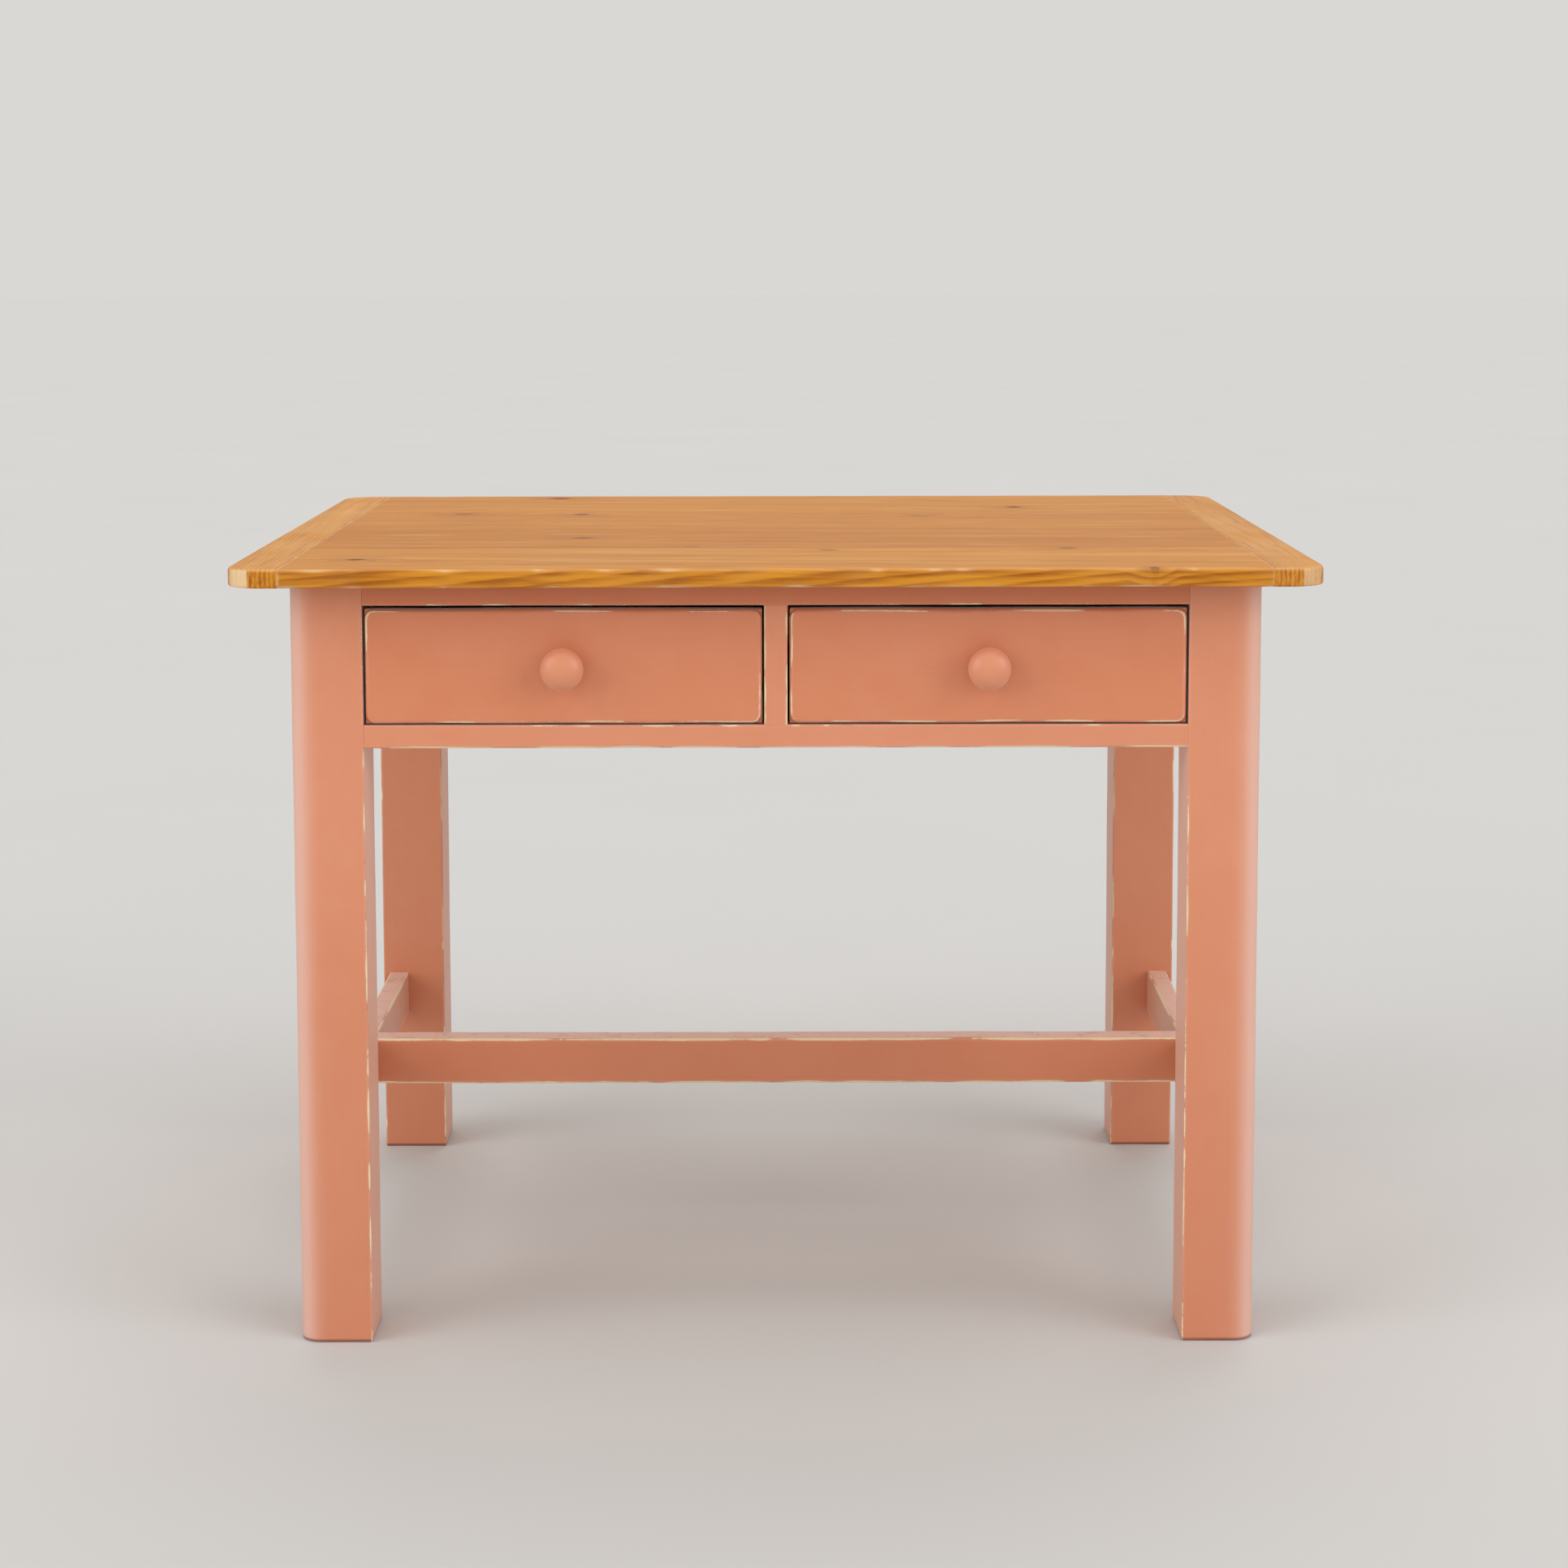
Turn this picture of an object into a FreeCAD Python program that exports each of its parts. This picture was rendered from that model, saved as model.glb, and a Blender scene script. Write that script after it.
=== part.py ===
import FreeCAD, Part
import math
import os

# A pine kitchen table with two drawers side by side under its front edge.
#
# Frame: +X to the right, +Y to the back, +Z up. The drawers face -Y. The origin is on the floor,
# under the middle of the table. Everything is in millimetres.
#
# The top is a panel of tongued and grooved boards held flat by a breadboard at each end. Four
# square legs, each with its outer corner well rounded, carry three aprons and two drawer rails on
# mortise and tenon joints, and a stretcher frame in the shape of an H near the floor. Each drawer
# is dovetailed, runs on wooden runners, and is pulled out by a turned knob.

# ---- Driving dimensions ---------------------------------------------------------------------

# Whole table
TABLE_HEIGHT = 750.0
TOP_LENGTH = 1016.0
TOP_DEPTH = 816.0
TOP_THICKNESS = 18.0
TOP_OVERHANG = 51.0
TOP_CORNER_RADIUS = 35.0
TOP_ARRIS_RADIUS = 4.0
TOP_UNDER_CHAMFER = 1.5

# Boards of the top
BOARD_COUNT = 4
FRONT_BOARD_DEPTH = 188.0
BREADBOARD_WIDTH = 50.0
TONGUE_THICKNESS = 6.0
EDGE_TONGUE_LENGTH = 6.0
END_TONGUE_LENGTH = 12.0
END_TONGUE_SETBACK = 30.0

# Legs
LEG_WIDTH = 70.0
LEG_CORNER_RADIUS = 20.0
ARRIS_RADIUS = 2.0
FOOT_CHAMFER = 1.5

# Rails and aprons round the drawers
RAIL_HEIGHT = 22.0
RAIL_DEPTH = 50.0
OPENING_HEIGHT = 113.0
DIVIDER_WIDTH = 22.0
APRON_THICKNESS = 22.0
APRON_INSET = 7.0

# Stretchers
STRETCHER_TOP = 207.0
STRETCHER_HEIGHT = 49.0
SIDE_STRETCHER_THICKNESS = 22.0
LONG_STRETCHER_THICKNESS = 30.0

# Joints of the frame
TENON_THICKNESS = 12.0
TENON_LENGTH = 30.0
TENON_SHOULDER = 6.0
APRON_SHOULDER = 12.0
HAUNCH_HEIGHT = 25.0
HAUNCH_LENGTH = 10.0
TWIN_TENON_THICKNESS = 10.0
TWIN_TENON_SHOULDER = 8.0
TWIN_TENON_CHEEK = 4.0
LAP_DOVETAIL_NECK = 30.0
STRETCHER_TENON_LENGTH = 15.0
DIVIDER_TENON_LENGTH = 10.0
DIVIDER_TENON_SHOULDER = 10.0
STUB_THICKNESS = 8.0
STUB_LENGTH = 6.0
STUB_SHOULDER = 5.0
DOVETAIL_SLOPE = 1.0 / 7.0
GLUE_GAP = 0.1
END_GAP = 1.0

# Runners, guides, kickers and stops
SIDE_RUNNER_LEDGE = 22.0
MIDDLE_RUNNER_WIDTH = 60.0
GUIDE_HEIGHT = 20.0
STOP_WIDTH = 40.0
STOP_HEIGHT = 6.0
STOP_SPREAD = 200.0

# Buttons that hold the top to the back apron
BUTTON_WIDTH = 40.0
BUTTON_LENGTH = 34.0
BUTTON_TONGUE_HEIGHT = 8.0
BUTTON_TONGUE_LENGTH = 9.0
BUTTONS_PER_DRAWER = 2

# Drawers
DRAWER_DEPTH = 600.0
DRAWER_FRONT_THICKNESS = 20.0
DRAWER_SIDE_THICKNESS = 12.0
DRAWER_BACK_THICKNESS = 12.0
DRAWER_BOTTOM_THICKNESS = 6.0
DRAWER_GAP_TOP = 3.5
DRAWER_GAP_SIDE = 1.75
DRAWER_GAP_BOTTOM = 1.0
DRAWER_RUN_CLEARANCE = 0.3
DRAWER_SIDE_DROP = 4.0
DRAWER_BACK_DROP = 8.0
DRAWER_ARRIS_RADIUS = 4.0
GROOVE_RISE = 8.0
GROOVE_DEPTH = 6.0
PANEL_PLAY = 0.5
DOVETAIL_LAP = 5.0
DOVETAIL_COUNT = 3
DOVETAIL_PIN = 8.0

# Knobs
KNOB_DIAMETER = 40.0
KNOB_LENGTH = 33.0
KNOB_EDGE_HEIGHT = 20.0
KNOB_FOOT_DIAMETER = 20.0
KNOB_NECK_DIAMETER = 16.0
KNOB_HEAD_RISE = 9.5
KNOB_SHOULDER_DIAMETER = 21.0
KNOB_CROWN_DIAMETER = 5.0
KNOB_SIDES = 28
KNOB_HEAD_STEPS = 5
KNOB_NECK_STEPS = 2

# Wood screws, the screws of the knobs and the nails of the drawer bottoms
SCREW_DIAMETER = 4.0
SCREW_HEAD_DIAMETER = 8.0
SCREW_LENGTH = 30.0
SCREW_BITE = 12.0
SCREW_TIP = 4.0
SCREW_TIP_DIAMETER = 0.8
SCREW_SLOT_WIDTH = 1.0
SCREW_SLOT_DEPTH = 1.2
SCREW_SEAM_DISTANCE = 45.0
GUIDE_SCREW_SPREAD = 200.0
RAIL_SCREW_SPREAD = 180.0
KNOB_SCREW_BITE = 15.0
KNOB_SCREW_HEAD_HEIGHT = 2.5
NAIL_DIAMETER = 2.0
NAIL_HEAD_DIAMETER = 4.5
NAIL_HEAD_THICKNESS = 1.0
NAIL_LENGTH = 22.0
NAIL_TIP = 2.5
NAIL_TIP_DIAMETER = 0.6
NAIL_SPREAD = 120.0
FASTENER_SIDES = 8

# ---- Sizes that follow from them ------------------------------------------------------------

LEG_OUTER_X = TOP_LENGTH / 2 - TOP_OVERHANG
LEG_OUTER_Y = TOP_DEPTH / 2 - TOP_OVERHANG
LEG_INNER_X = LEG_OUTER_X - LEG_WIDTH
LEG_INNER_Y = LEG_OUTER_Y - LEG_WIDTH
TOP_UNDERSIDE = TABLE_HEIGHT - TOP_THICKNESS
APRON_BOTTOM = TOP_UNDERSIDE - 2 * RAIL_HEIGHT - OPENING_HEIGHT
OPENING_BOTTOM = APRON_BOTTOM + RAIL_HEIGHT
OPENING_TOP = TOP_UNDERSIDE - RAIL_HEIGHT

BREADBOARD_SEAM = TOP_LENGTH / 2 - BREADBOARD_WIDTH
TONGUE_MIDDLE = TOP_UNDERSIDE + TOP_THICKNESS / 2
TONGUE_HEIGHTS = (TONGUE_MIDDLE - TONGUE_THICKNESS / 2, TONGUE_MIDDLE + TONGUE_THICKNESS / 2)
END_TONGUE_REACH = TOP_DEPTH / 2 - END_TONGUE_SETBACK

APRON_FACE_X = LEG_OUTER_X - APRON_INSET - APRON_THICKNESS
APRON_FACE_Y = LEG_OUTER_Y - APRON_INSET - APRON_THICKNESS
RAIL_BACK = -LEG_OUTER_Y + RAIL_DEPTH
SCREW_SEAT = TOP_UNDERSIDE - (SCREW_LENGTH - SCREW_BITE)
SCREW_WELL = SCREW_SEAT - (TOP_UNDERSIDE - RAIL_HEIGHT) + GLUE_GAP

OPENING_WIDTH = LEG_INNER_X - DIVIDER_WIDTH / 2
DRAWER_CENTRE = DIVIDER_WIDTH / 2 + OPENING_WIDTH / 2
DRAWER_WIDTH = OPENING_WIDTH - 2 * DRAWER_GAP_SIDE
DRAWER_FACE = -LEG_OUTER_Y
DRAWER_FRONT_BACK = DRAWER_FACE + DRAWER_FRONT_THICKNESS
DRAWER_END = DRAWER_FACE + DRAWER_DEPTH
FRONT_BOTTOM = OPENING_BOTTOM + DRAWER_GAP_BOTTOM
FRONT_TOP = OPENING_TOP - DRAWER_GAP_TOP
SIDE_BOTTOM = OPENING_BOTTOM + DRAWER_RUN_CLEARANCE
SIDE_TOP = FRONT_TOP - DRAWER_SIDE_DROP
KNOB_HEIGHT = (FRONT_BOTTOM + FRONT_TOP) / 2
KNOB_SCREW_FACE = -DRAWER_FRONT_BACK - KNOB_SCREW_HEAD_HEIGHT
TAIL_LENGTH = DRAWER_FRONT_THICKNESS - DOVETAIL_LAP

TINY = 0.01
FULL_TURN = 360.0
Vector = FreeCAD.Vector


# ---- Shapes that many pieces use ------------------------------------------------------------


def block(x_span, y_span, z_span):
    """A box between the ends of three spans."""
    corner = Vector(x_span[0], y_span[0], z_span[0])
    return Part.makeBox(x_span[1] - x_span[0], y_span[1] - y_span[0], z_span[1] - z_span[0], corner)


def grown(span, gap):
    """A span made longer by a gap at each end."""
    return (span[0] - gap, span[1] + gap)


def both_ways(reach):
    """A span centred on zero."""
    return (-reach, reach)


def around(middle, width):
    """A span of a given width about its middle."""
    return (middle - width / 2, middle + width / 2)


def mortise(tenon, along):
    """The hole for a tenon given as three spans, where along is the axis that it points along."""
    gaps = [END_GAP if axis == along else GLUE_GAP for axis in range(3)]
    return block(*[grown(span, gap) for span, gap in zip(tenon, gaps)])


def joined(*shapes):
    """Shapes fused into one solid with no seams left on shared faces."""
    return shapes[0].multiFuse(list(shapes[1:])).removeSplitter()


def cut_by(shape, tools):
    """A shape with every tool cut out of it."""
    return shape.cut(list(tools))


def mirrored(shape):
    """The same piece on the other side of the table, left for right."""
    return shape.mirror(Vector(0, 0, 0), Vector(1, 0, 0))


def pair(shape):
    """A left-hand shape and its right-hand twin."""
    return [shape, mirrored(shape)]


def edges_at(shape, x=None, y=None, z=None):
    """The edges that lie in every plane that is named."""

    def lies(edge):
        box = edge.BoundBox
        tests = ((x, box.XMin, box.XMax), (y, box.YMin, box.YMax), (z, box.ZMin, box.ZMax))
        return all(
            plane is None or (abs(low - plane) < TINY and abs(high - plane) < TINY)
            for plane, low, high in tests
        )

    return [edge for edge in shape.Edges if lies(edge)]


def prism(points, push):
    """A closed outline of points pushed along a vector."""
    outline = Part.makePolygon(points + points[:1])
    return Part.Face(outline).extrude(push)


def ring(radius, height, sides):
    """The corners of a flat-sided ring about the Z axis."""
    step = 2 * math.pi / sides
    angles = [step * (i + 0.5) for i in range(sides)]
    return [Vector(radius * math.cos(a), radius * math.sin(a), height) for a in angles]


def stacked(profile, sides=FASTENER_SIDES):
    """A flat-sided turned piece whose outline is given as (radius, height) pairs from the bottom up."""
    rings = [ring(radius, height, sides) for radius, height in profile]
    outlines = [rings[0][::-1], rings[-1]]
    for low, high in zip(rings[:-1], rings[1:]):
        for i in range(sides):
            after = (i + 1) % sides
            outlines.append([low[i], low[after], high[after], high[i]])
    faces = [Part.Face(Part.makePolygon(outline + outline[:1])) for outline in outlines]
    return Part.Solid(Part.Shell(faces))


def quarter_oval(middle, start, end, steps):
    """Points along a quarter of an oval about its middle, after its start and up to its end."""
    turns = [math.pi / 2 * (i + 1) / steps for i in range(steps)]
    return [
        tuple(
            m + (a - m) * math.cos(turn) + (b - m) * math.sin(turn)
            for m, a, b in zip(middle, start, end)
        )
        for turn in turns
    ]


def rounded_column(x_span, y_span, z_span, radii):
    """An upright column whose four corners have their own radii.

    The radii are in order round the column: low x with low y, high x with low y, high x with
    high y, and low x with high y. A radius of zero is a sharp corner.
    """
    corners = [
        Vector(x_span[0], y_span[0], z_span[0]),
        Vector(x_span[1], y_span[0], z_span[0]),
        Vector(x_span[1], y_span[1], z_span[0]),
        Vector(x_span[0], y_span[1], z_span[0]),
    ]
    headings = [Vector(1, 0, 0), Vector(0, 1, 0), Vector(-1, 0, 0), Vector(0, -1, 0)]
    arc_sag = 1 - math.sqrt(0.5)
    edges = []
    for i, corner in enumerate(corners):
        came, goes = headings[i - 1], headings[i]
        leaves = corner + goes * radii[i]
        if radii[i] > 0:
            middle = corner + (goes - came) * (radii[i] * arc_sag)
            edges.append(Part.Arc(corner - came * radii[i], middle, leaves).toShape())
        after = (i + 1) % len(corners)
        edges.append(Part.makeLine(leaves, corners[after] - goes * radii[after]))
    face = Part.Face(Part.Wire(edges))
    return face.extrude(Vector(0, 0, z_span[1] - z_span[0]))


# ---- Screws and nails -----------------------------------------------------------------------


def screw_form(gap):
    """A countersunk screw with the face of its head at the origin and its tip up."""
    head = SCREW_HEAD_DIAMETER / 2 + gap
    shank = SCREW_DIAMETER / 2 + gap
    tip = SCREW_TIP_DIAMETER / 2 + gap
    neck = head - shank
    return stacked(
        [(head, 0), (shank, neck), (shank, SCREW_LENGTH - SCREW_TIP), (tip, SCREW_LENGTH + gap)]
    )


def placed(shape, place):
    """A shape moved to a place, and turned over where the place says that its tip points down."""
    x, y, z, tip_up = place
    copy = shape.copy()
    if not tip_up:
        copy.rotate(Vector(0, 0, 0), Vector(1, 0, 0), FULL_TURN / 2)
    copy.translate(Vector(x, y, z))
    return copy


def screw_slot(face):
    """The cut across the head of an upright screw that has the face of its head at a height."""
    depths = around(face, 2 * SCREW_SLOT_DEPTH)
    return block(both_ways(SCREW_HEAD_DIAMETER), both_ways(SCREW_SLOT_WIDTH / 2), depths)


def screws(places):
    """A group of slotted wood screws, each a solid of its own."""
    screw = screw_form(0.0).cut(screw_slot(0.0))
    return Part.makeCompound([placed(screw, place) for place in places])


def screw_holes(places, well=0.0):
    """The holes for screws, each with a well as wide as the head and as deep as it is sunk."""
    hole = screw_form(GLUE_GAP)
    if well > 0:
        mouth = SCREW_HEAD_DIAMETER / 2 + GLUE_GAP
        hole = joined(hole, stacked([(mouth, -well), (mouth, 0)]))
    return [placed(hole, place) for place in places]


def board_spans():
    """Where each board of the top lies from front to back."""
    front = -TOP_DEPTH / 2
    rest = (TOP_DEPTH - FRONT_BOARD_DEPTH) / (BOARD_COUNT - 1)
    seams = [front, front + FRONT_BOARD_DEPTH]
    seams += [seams[1] + rest * (i + 1) for i in range(BOARD_COUNT - 1)]
    return list(zip(seams[:-1], seams[1:]))


def kicker_screws(x):
    """Places of the screws that go up through one kicker, one into each board behind the first."""
    return [(x, seam + SCREW_SEAM_DISTANCE, SCREW_SEAT, True) for seam, _ in board_spans()[1:]]


def guide_screws(x):
    """Places of the screws that hold one drawer guide down on its runner."""
    seat = OPENING_BOTTOM + GUIDE_HEIGHT
    return [(x, y, seat, False) for y in (-GUIDE_SCREW_SPREAD, 0.0, GUIDE_SCREW_SPREAD)]


SIDE_RUNNER_SPAN = (-APRON_FACE_X, -LEG_INNER_X + SIDE_RUNNER_LEDGE)
SIDE_KICKER_SCREW_X = sum(SIDE_RUNNER_SPAN) / 2
SIDE_GUIDE_X = -(APRON_FACE_X + LEG_INNER_X) / 2
BUTTON_Y = APRON_FACE_Y - BUTTON_LENGTH / 2
BUTTON_FIRST_X = MIDDLE_RUNNER_WIDTH / 2
BUTTON_STEP = (-SIDE_RUNNER_SPAN[1] - BUTTON_FIRST_X) / (BUTTONS_PER_DRAWER + 1)
BUTTON_PLACES = [
    side * (BUTTON_FIRST_X + BUTTON_STEP * (i + 1))
    for side in (-1, 1)
    for i in range(BUTTONS_PER_DRAWER)
]
RAIL_SCREWS = [
    (x, (RAIL_BACK - LEG_OUTER_Y) / 2, SCREW_SEAT, True)
    for x in (-RAIL_SCREW_SPREAD, RAIL_SCREW_SPREAD)
]
BUTTON_SCREWS = [(x, BUTTON_Y, SCREW_SEAT, True) for x in BUTTON_PLACES]
KICKER_SCREWS = [
    place
    for x in (SIDE_KICKER_SCREW_X, 0.0, -SIDE_KICKER_SCREW_X)
    for place in kicker_screws(x)
]
GUIDE_SCREWS = [place for x in (SIDE_GUIDE_X, 0.0, -SIDE_GUIDE_X) for place in guide_screws(x)]
TOP_SCREWS = RAIL_SCREWS + BUTTON_SCREWS + KICKER_SCREWS


# ---- Table top ------------------------------------------------------------------------------


def top_outline():
    """The whole top as one slab with rounded corners and softened arrises."""
    slab = rounded_column(
        both_ways(TOP_LENGTH / 2),
        both_ways(TOP_DEPTH / 2),
        (TOP_UNDERSIDE, TABLE_HEIGHT),
        [TOP_CORNER_RADIUS] * 4,
    )
    slab = slab.makeFillet(TOP_ARRIS_RADIUS, edges_at(slab, z=TABLE_HEIGHT))
    return slab.makeChamfer(TOP_UNDER_CHAMFER, edges_at(slab, z=TOP_UNDERSIDE))


def top_boards(slab):
    """The boards that run from left to right, tongued into each other and into the breadboards."""
    inside = both_ways(BREADBOARD_SEAM)
    spans = board_spans()
    boards = {}
    for i, (front, back) in enumerate(spans):
        board = slab.common(block(inside, (front, back), (TOP_UNDERSIDE, TABLE_HEIGHT)))
        reach = (max(front, -END_TONGUE_REACH), min(back, END_TONGUE_REACH))
        board = joined(
            board, block(both_ways(BREADBOARD_SEAM + END_TONGUE_LENGTH), reach, TONGUE_HEIGHTS)
        )
        if i < len(spans) - 1:
            board = joined(board, block(inside, (back, back + EDGE_TONGUE_LENGTH), TONGUE_HEIGHTS))
        if i > 0:
            groove = (front - GLUE_GAP, front + EDGE_TONGUE_LENGTH + PANEL_PLAY)
            board = board.cut(block(inside, groove, grown(TONGUE_HEIGHTS, GLUE_GAP)))
        boards["top_board_%d" % (i + 1)] = cut_by(board, screw_holes(TOP_SCREWS))
    return boards


def breadboard(slab):
    """The board across the left end of the top, grooved for the tongues of the long boards."""
    span = (-TOP_LENGTH / 2, -BREADBOARD_SEAM)
    end = slab.common(block(span, both_ways(TOP_DEPTH / 2), (TOP_UNDERSIDE, TABLE_HEIGHT)))
    groove = block(
        (-BREADBOARD_SEAM - END_TONGUE_LENGTH - PANEL_PLAY, -BREADBOARD_SEAM),
        both_ways(END_TONGUE_REACH + PANEL_PLAY),
        grown(TONGUE_HEIGHTS, GLUE_GAP),
    )
    return end.cut(groove)


# ---- Tenons of the frame, each as three spans, on the left-hand side of the table ------------

APRON_TENON_MIDDLE_X = -(LEG_OUTER_X - APRON_INSET - APRON_THICKNESS / 2)
APRON_TENON_MIDDLE_Y = LEG_OUTER_Y - APRON_INSET - APRON_THICKNESS / 2
APRON_TENON_HEIGHTS = (APRON_BOTTOM + APRON_SHOULDER, TOP_UNDERSIDE - HAUNCH_HEIGHT)
HAUNCH_HEIGHTS = (TOP_UNDERSIDE - HAUNCH_HEIGHT, TOP_UNDERSIDE)
SIDE_APRON_TENON = (
    around(APRON_TENON_MIDDLE_X, TENON_THICKNESS),
    both_ways(LEG_INNER_Y + TENON_LENGTH),
    APRON_TENON_HEIGHTS,
)
SIDE_APRON_HAUNCH = (
    around(APRON_TENON_MIDDLE_X, TENON_THICKNESS),
    both_ways(LEG_INNER_Y + HAUNCH_LENGTH),
    HAUNCH_HEIGHTS,
)
BACK_APRON_TENON = (
    both_ways(LEG_INNER_X + TENON_LENGTH),
    around(APRON_TENON_MIDDLE_Y, TENON_THICKNESS),
    APRON_TENON_HEIGHTS,
)
BACK_APRON_HAUNCH = (
    both_ways(LEG_INNER_X + HAUNCH_LENGTH),
    around(APRON_TENON_MIDDLE_Y, TENON_THICKNESS),
    HAUNCH_HEIGHTS,
)
STRETCHER_HEIGHTS = (STRETCHER_TOP - STRETCHER_HEIGHT, STRETCHER_TOP)
SIDE_STRETCHER_X = -(LEG_OUTER_X - APRON_INSET - SIDE_STRETCHER_THICKNESS / 2)
SIDE_STRETCHER_TENON = (
    around(SIDE_STRETCHER_X, TENON_THICKNESS),
    both_ways(LEG_INNER_Y + TENON_LENGTH),
    grown(STRETCHER_HEIGHTS, -TENON_SHOULDER),
)
STRETCHER_SHOULDER_X = -SIDE_STRETCHER_X - SIDE_STRETCHER_THICKNESS / 2
LONG_STRETCHER_TENON = (
    both_ways(STRETCHER_SHOULDER_X + STRETCHER_TENON_LENGTH),
    both_ways(TENON_THICKNESS / 2),
    grown(STRETCHER_HEIGHTS, -TENON_SHOULDER),
)
TWIN_TENON_HEIGHTS = grown((APRON_BOTTOM, OPENING_BOTTOM), -TWIN_TENON_CHEEK)
TWIN_TENON_FRONT = -LEG_OUTER_Y + TWIN_TENON_SHOULDER
TWIN_TENON_BACK = RAIL_BACK - TWIN_TENON_SHOULDER
TWIN_TENONS = [
    (both_ways(LEG_INNER_X + TENON_LENGTH), y_span, TWIN_TENON_HEIGHTS)
    for y_span in (
        (TWIN_TENON_FRONT, TWIN_TENON_FRONT + TWIN_TENON_THICKNESS),
        (TWIN_TENON_BACK - TWIN_TENON_THICKNESS, TWIN_TENON_BACK),
    )
]
DIVIDER_TENON = (
    both_ways(DIVIDER_WIDTH / 2 - STUB_SHOULDER),
    grown((-LEG_OUTER_Y, RAIL_BACK), -DIVIDER_TENON_SHOULDER),
    grown((OPENING_BOTTOM, OPENING_TOP), DIVIDER_TENON_LENGTH),
)


def stub_tenon(x_span, bottom):
    """The stub at both ends of a runner or kicker that starts at a height."""
    return (
        grown(x_span, -STUB_SHOULDER),
        (RAIL_BACK - STUB_LENGTH, APRON_FACE_Y + STUB_LENGTH),
        around(bottom + RAIL_HEIGHT / 2, STUB_THICKNESS),
    )


LEDGE_SPAN = (-LEG_INNER_X, -LEG_INNER_X + SIDE_RUNNER_LEDGE)
MIDDLE_SPAN = both_ways(MIDDLE_RUNNER_WIDTH / 2)
RUNNER_STUBS = [stub_tenon(LEDGE_SPAN, APRON_BOTTOM), stub_tenon(MIDDLE_SPAN, APRON_BOTTOM)]
KICKER_STUBS = [stub_tenon(LEDGE_SPAN, OPENING_TOP), stub_tenon(MIDDLE_SPAN, OPENING_TOP)]


def stub_holes(stubs):
    """The holes for the stubs of a side strip, its right-hand twin and the middle strip."""
    side, middle = stubs
    return pair(mortise(side, 1)) + [mortise(middle, 1)]


def lap_dovetail(gap):
    """The dovetail at the left end of the top rail, seen from above a fan that widens outwards."""
    middle = (RAIL_BACK - LEG_OUTER_Y) / 2
    neck = LAP_DOVETAIL_NECK / 2 + gap
    tail = neck + TENON_LENGTH * DOVETAIL_SLOPE
    end = -LEG_INNER_X - TENON_LENGTH - gap
    points = [
        Vector(-LEG_INNER_X, middle - neck, OPENING_TOP - gap),
        Vector(-LEG_INNER_X, middle + neck, OPENING_TOP - gap),
        Vector(end, middle + tail, OPENING_TOP - gap),
        Vector(end, middle - tail, OPENING_TOP - gap),
    ]
    return prism(points, Vector(0, 0, RAIL_HEIGHT + gap))


# ---- Legs, rails, aprons and stretchers -----------------------------------------------------


def leg(in_front):
    """A left-hand leg, its outer corner rounded, with a mortise for each piece that meets it."""
    x_span = (-LEG_OUTER_X, -LEG_INNER_X)
    near, far = LEG_CORNER_RADIUS, ARRIS_RADIUS
    if in_front:
        y_span = (-LEG_OUTER_Y, -LEG_INNER_Y)
        lower_radii = [near, far, far, far]
        upper_radii = [near, 0.0, 0.0, far]
    else:
        y_span = (LEG_INNER_Y, LEG_OUTER_Y)
        lower_radii = [far, far, far, near]
        upper_radii = [far, 0.0, far, near]
    lower = rounded_column(x_span, y_span, (0.0, APRON_BOTTOM), lower_radii)
    lower = lower.makeChamfer(FOOT_CHAMFER, edges_at(lower, z=0.0))
    upper = rounded_column(x_span, y_span, (APRON_BOTTOM, TOP_UNDERSIDE), upper_radii)
    holes = [
        mortise(SIDE_APRON_TENON, 1),
        mortise(SIDE_APRON_HAUNCH, 1),
        mortise(SIDE_STRETCHER_TENON, 1),
    ]
    if in_front:
        holes += [mortise(tenon, 0) for tenon in TWIN_TENONS]
        holes.append(lap_dovetail(GLUE_GAP))
    else:
        holes += [mortise(BACK_APRON_TENON, 0), mortise(BACK_APRON_HAUNCH, 0)]
    return cut_by(joined(lower, upper), holes)


def front_top_rail():
    """The thin rail over the drawers, dropped into the tops of the legs on lap dovetails."""
    rail = block(
        both_ways(LEG_INNER_X), (-LEG_OUTER_Y, RAIL_BACK), (OPENING_TOP, TOP_UNDERSIDE)
    )
    rail = joined(rail, *pair(lap_dovetail(0.0)))
    holes = stub_holes(KICKER_STUBS) + screw_holes(RAIL_SCREWS, SCREW_WELL)
    return cut_by(rail, holes + [mortise(DIVIDER_TENON, 2)])


def front_bottom_rail():
    """The rail under the drawers, on twin tenons, its lower arris eased."""
    rail = block(
        both_ways(LEG_INNER_X), (-LEG_OUTER_Y, RAIL_BACK), (APRON_BOTTOM, OPENING_BOTTOM)
    )
    rail = rail.makeFillet(ARRIS_RADIUS, edges_at(rail, y=-LEG_OUTER_Y, z=APRON_BOTTOM))
    rail = joined(rail, *[block(*tenon) for tenon in TWIN_TENONS])
    return cut_by(rail, stub_holes(RUNNER_STUBS) + [mortise(DIVIDER_TENON, 2)])


def drawer_divider():
    """The upright between the two drawers."""
    upright = block(
        both_ways(DIVIDER_WIDTH / 2), (-LEG_OUTER_Y, RAIL_BACK), (OPENING_BOTTOM, OPENING_TOP)
    )
    return joined(upright, block(*DIVIDER_TENON))


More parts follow.
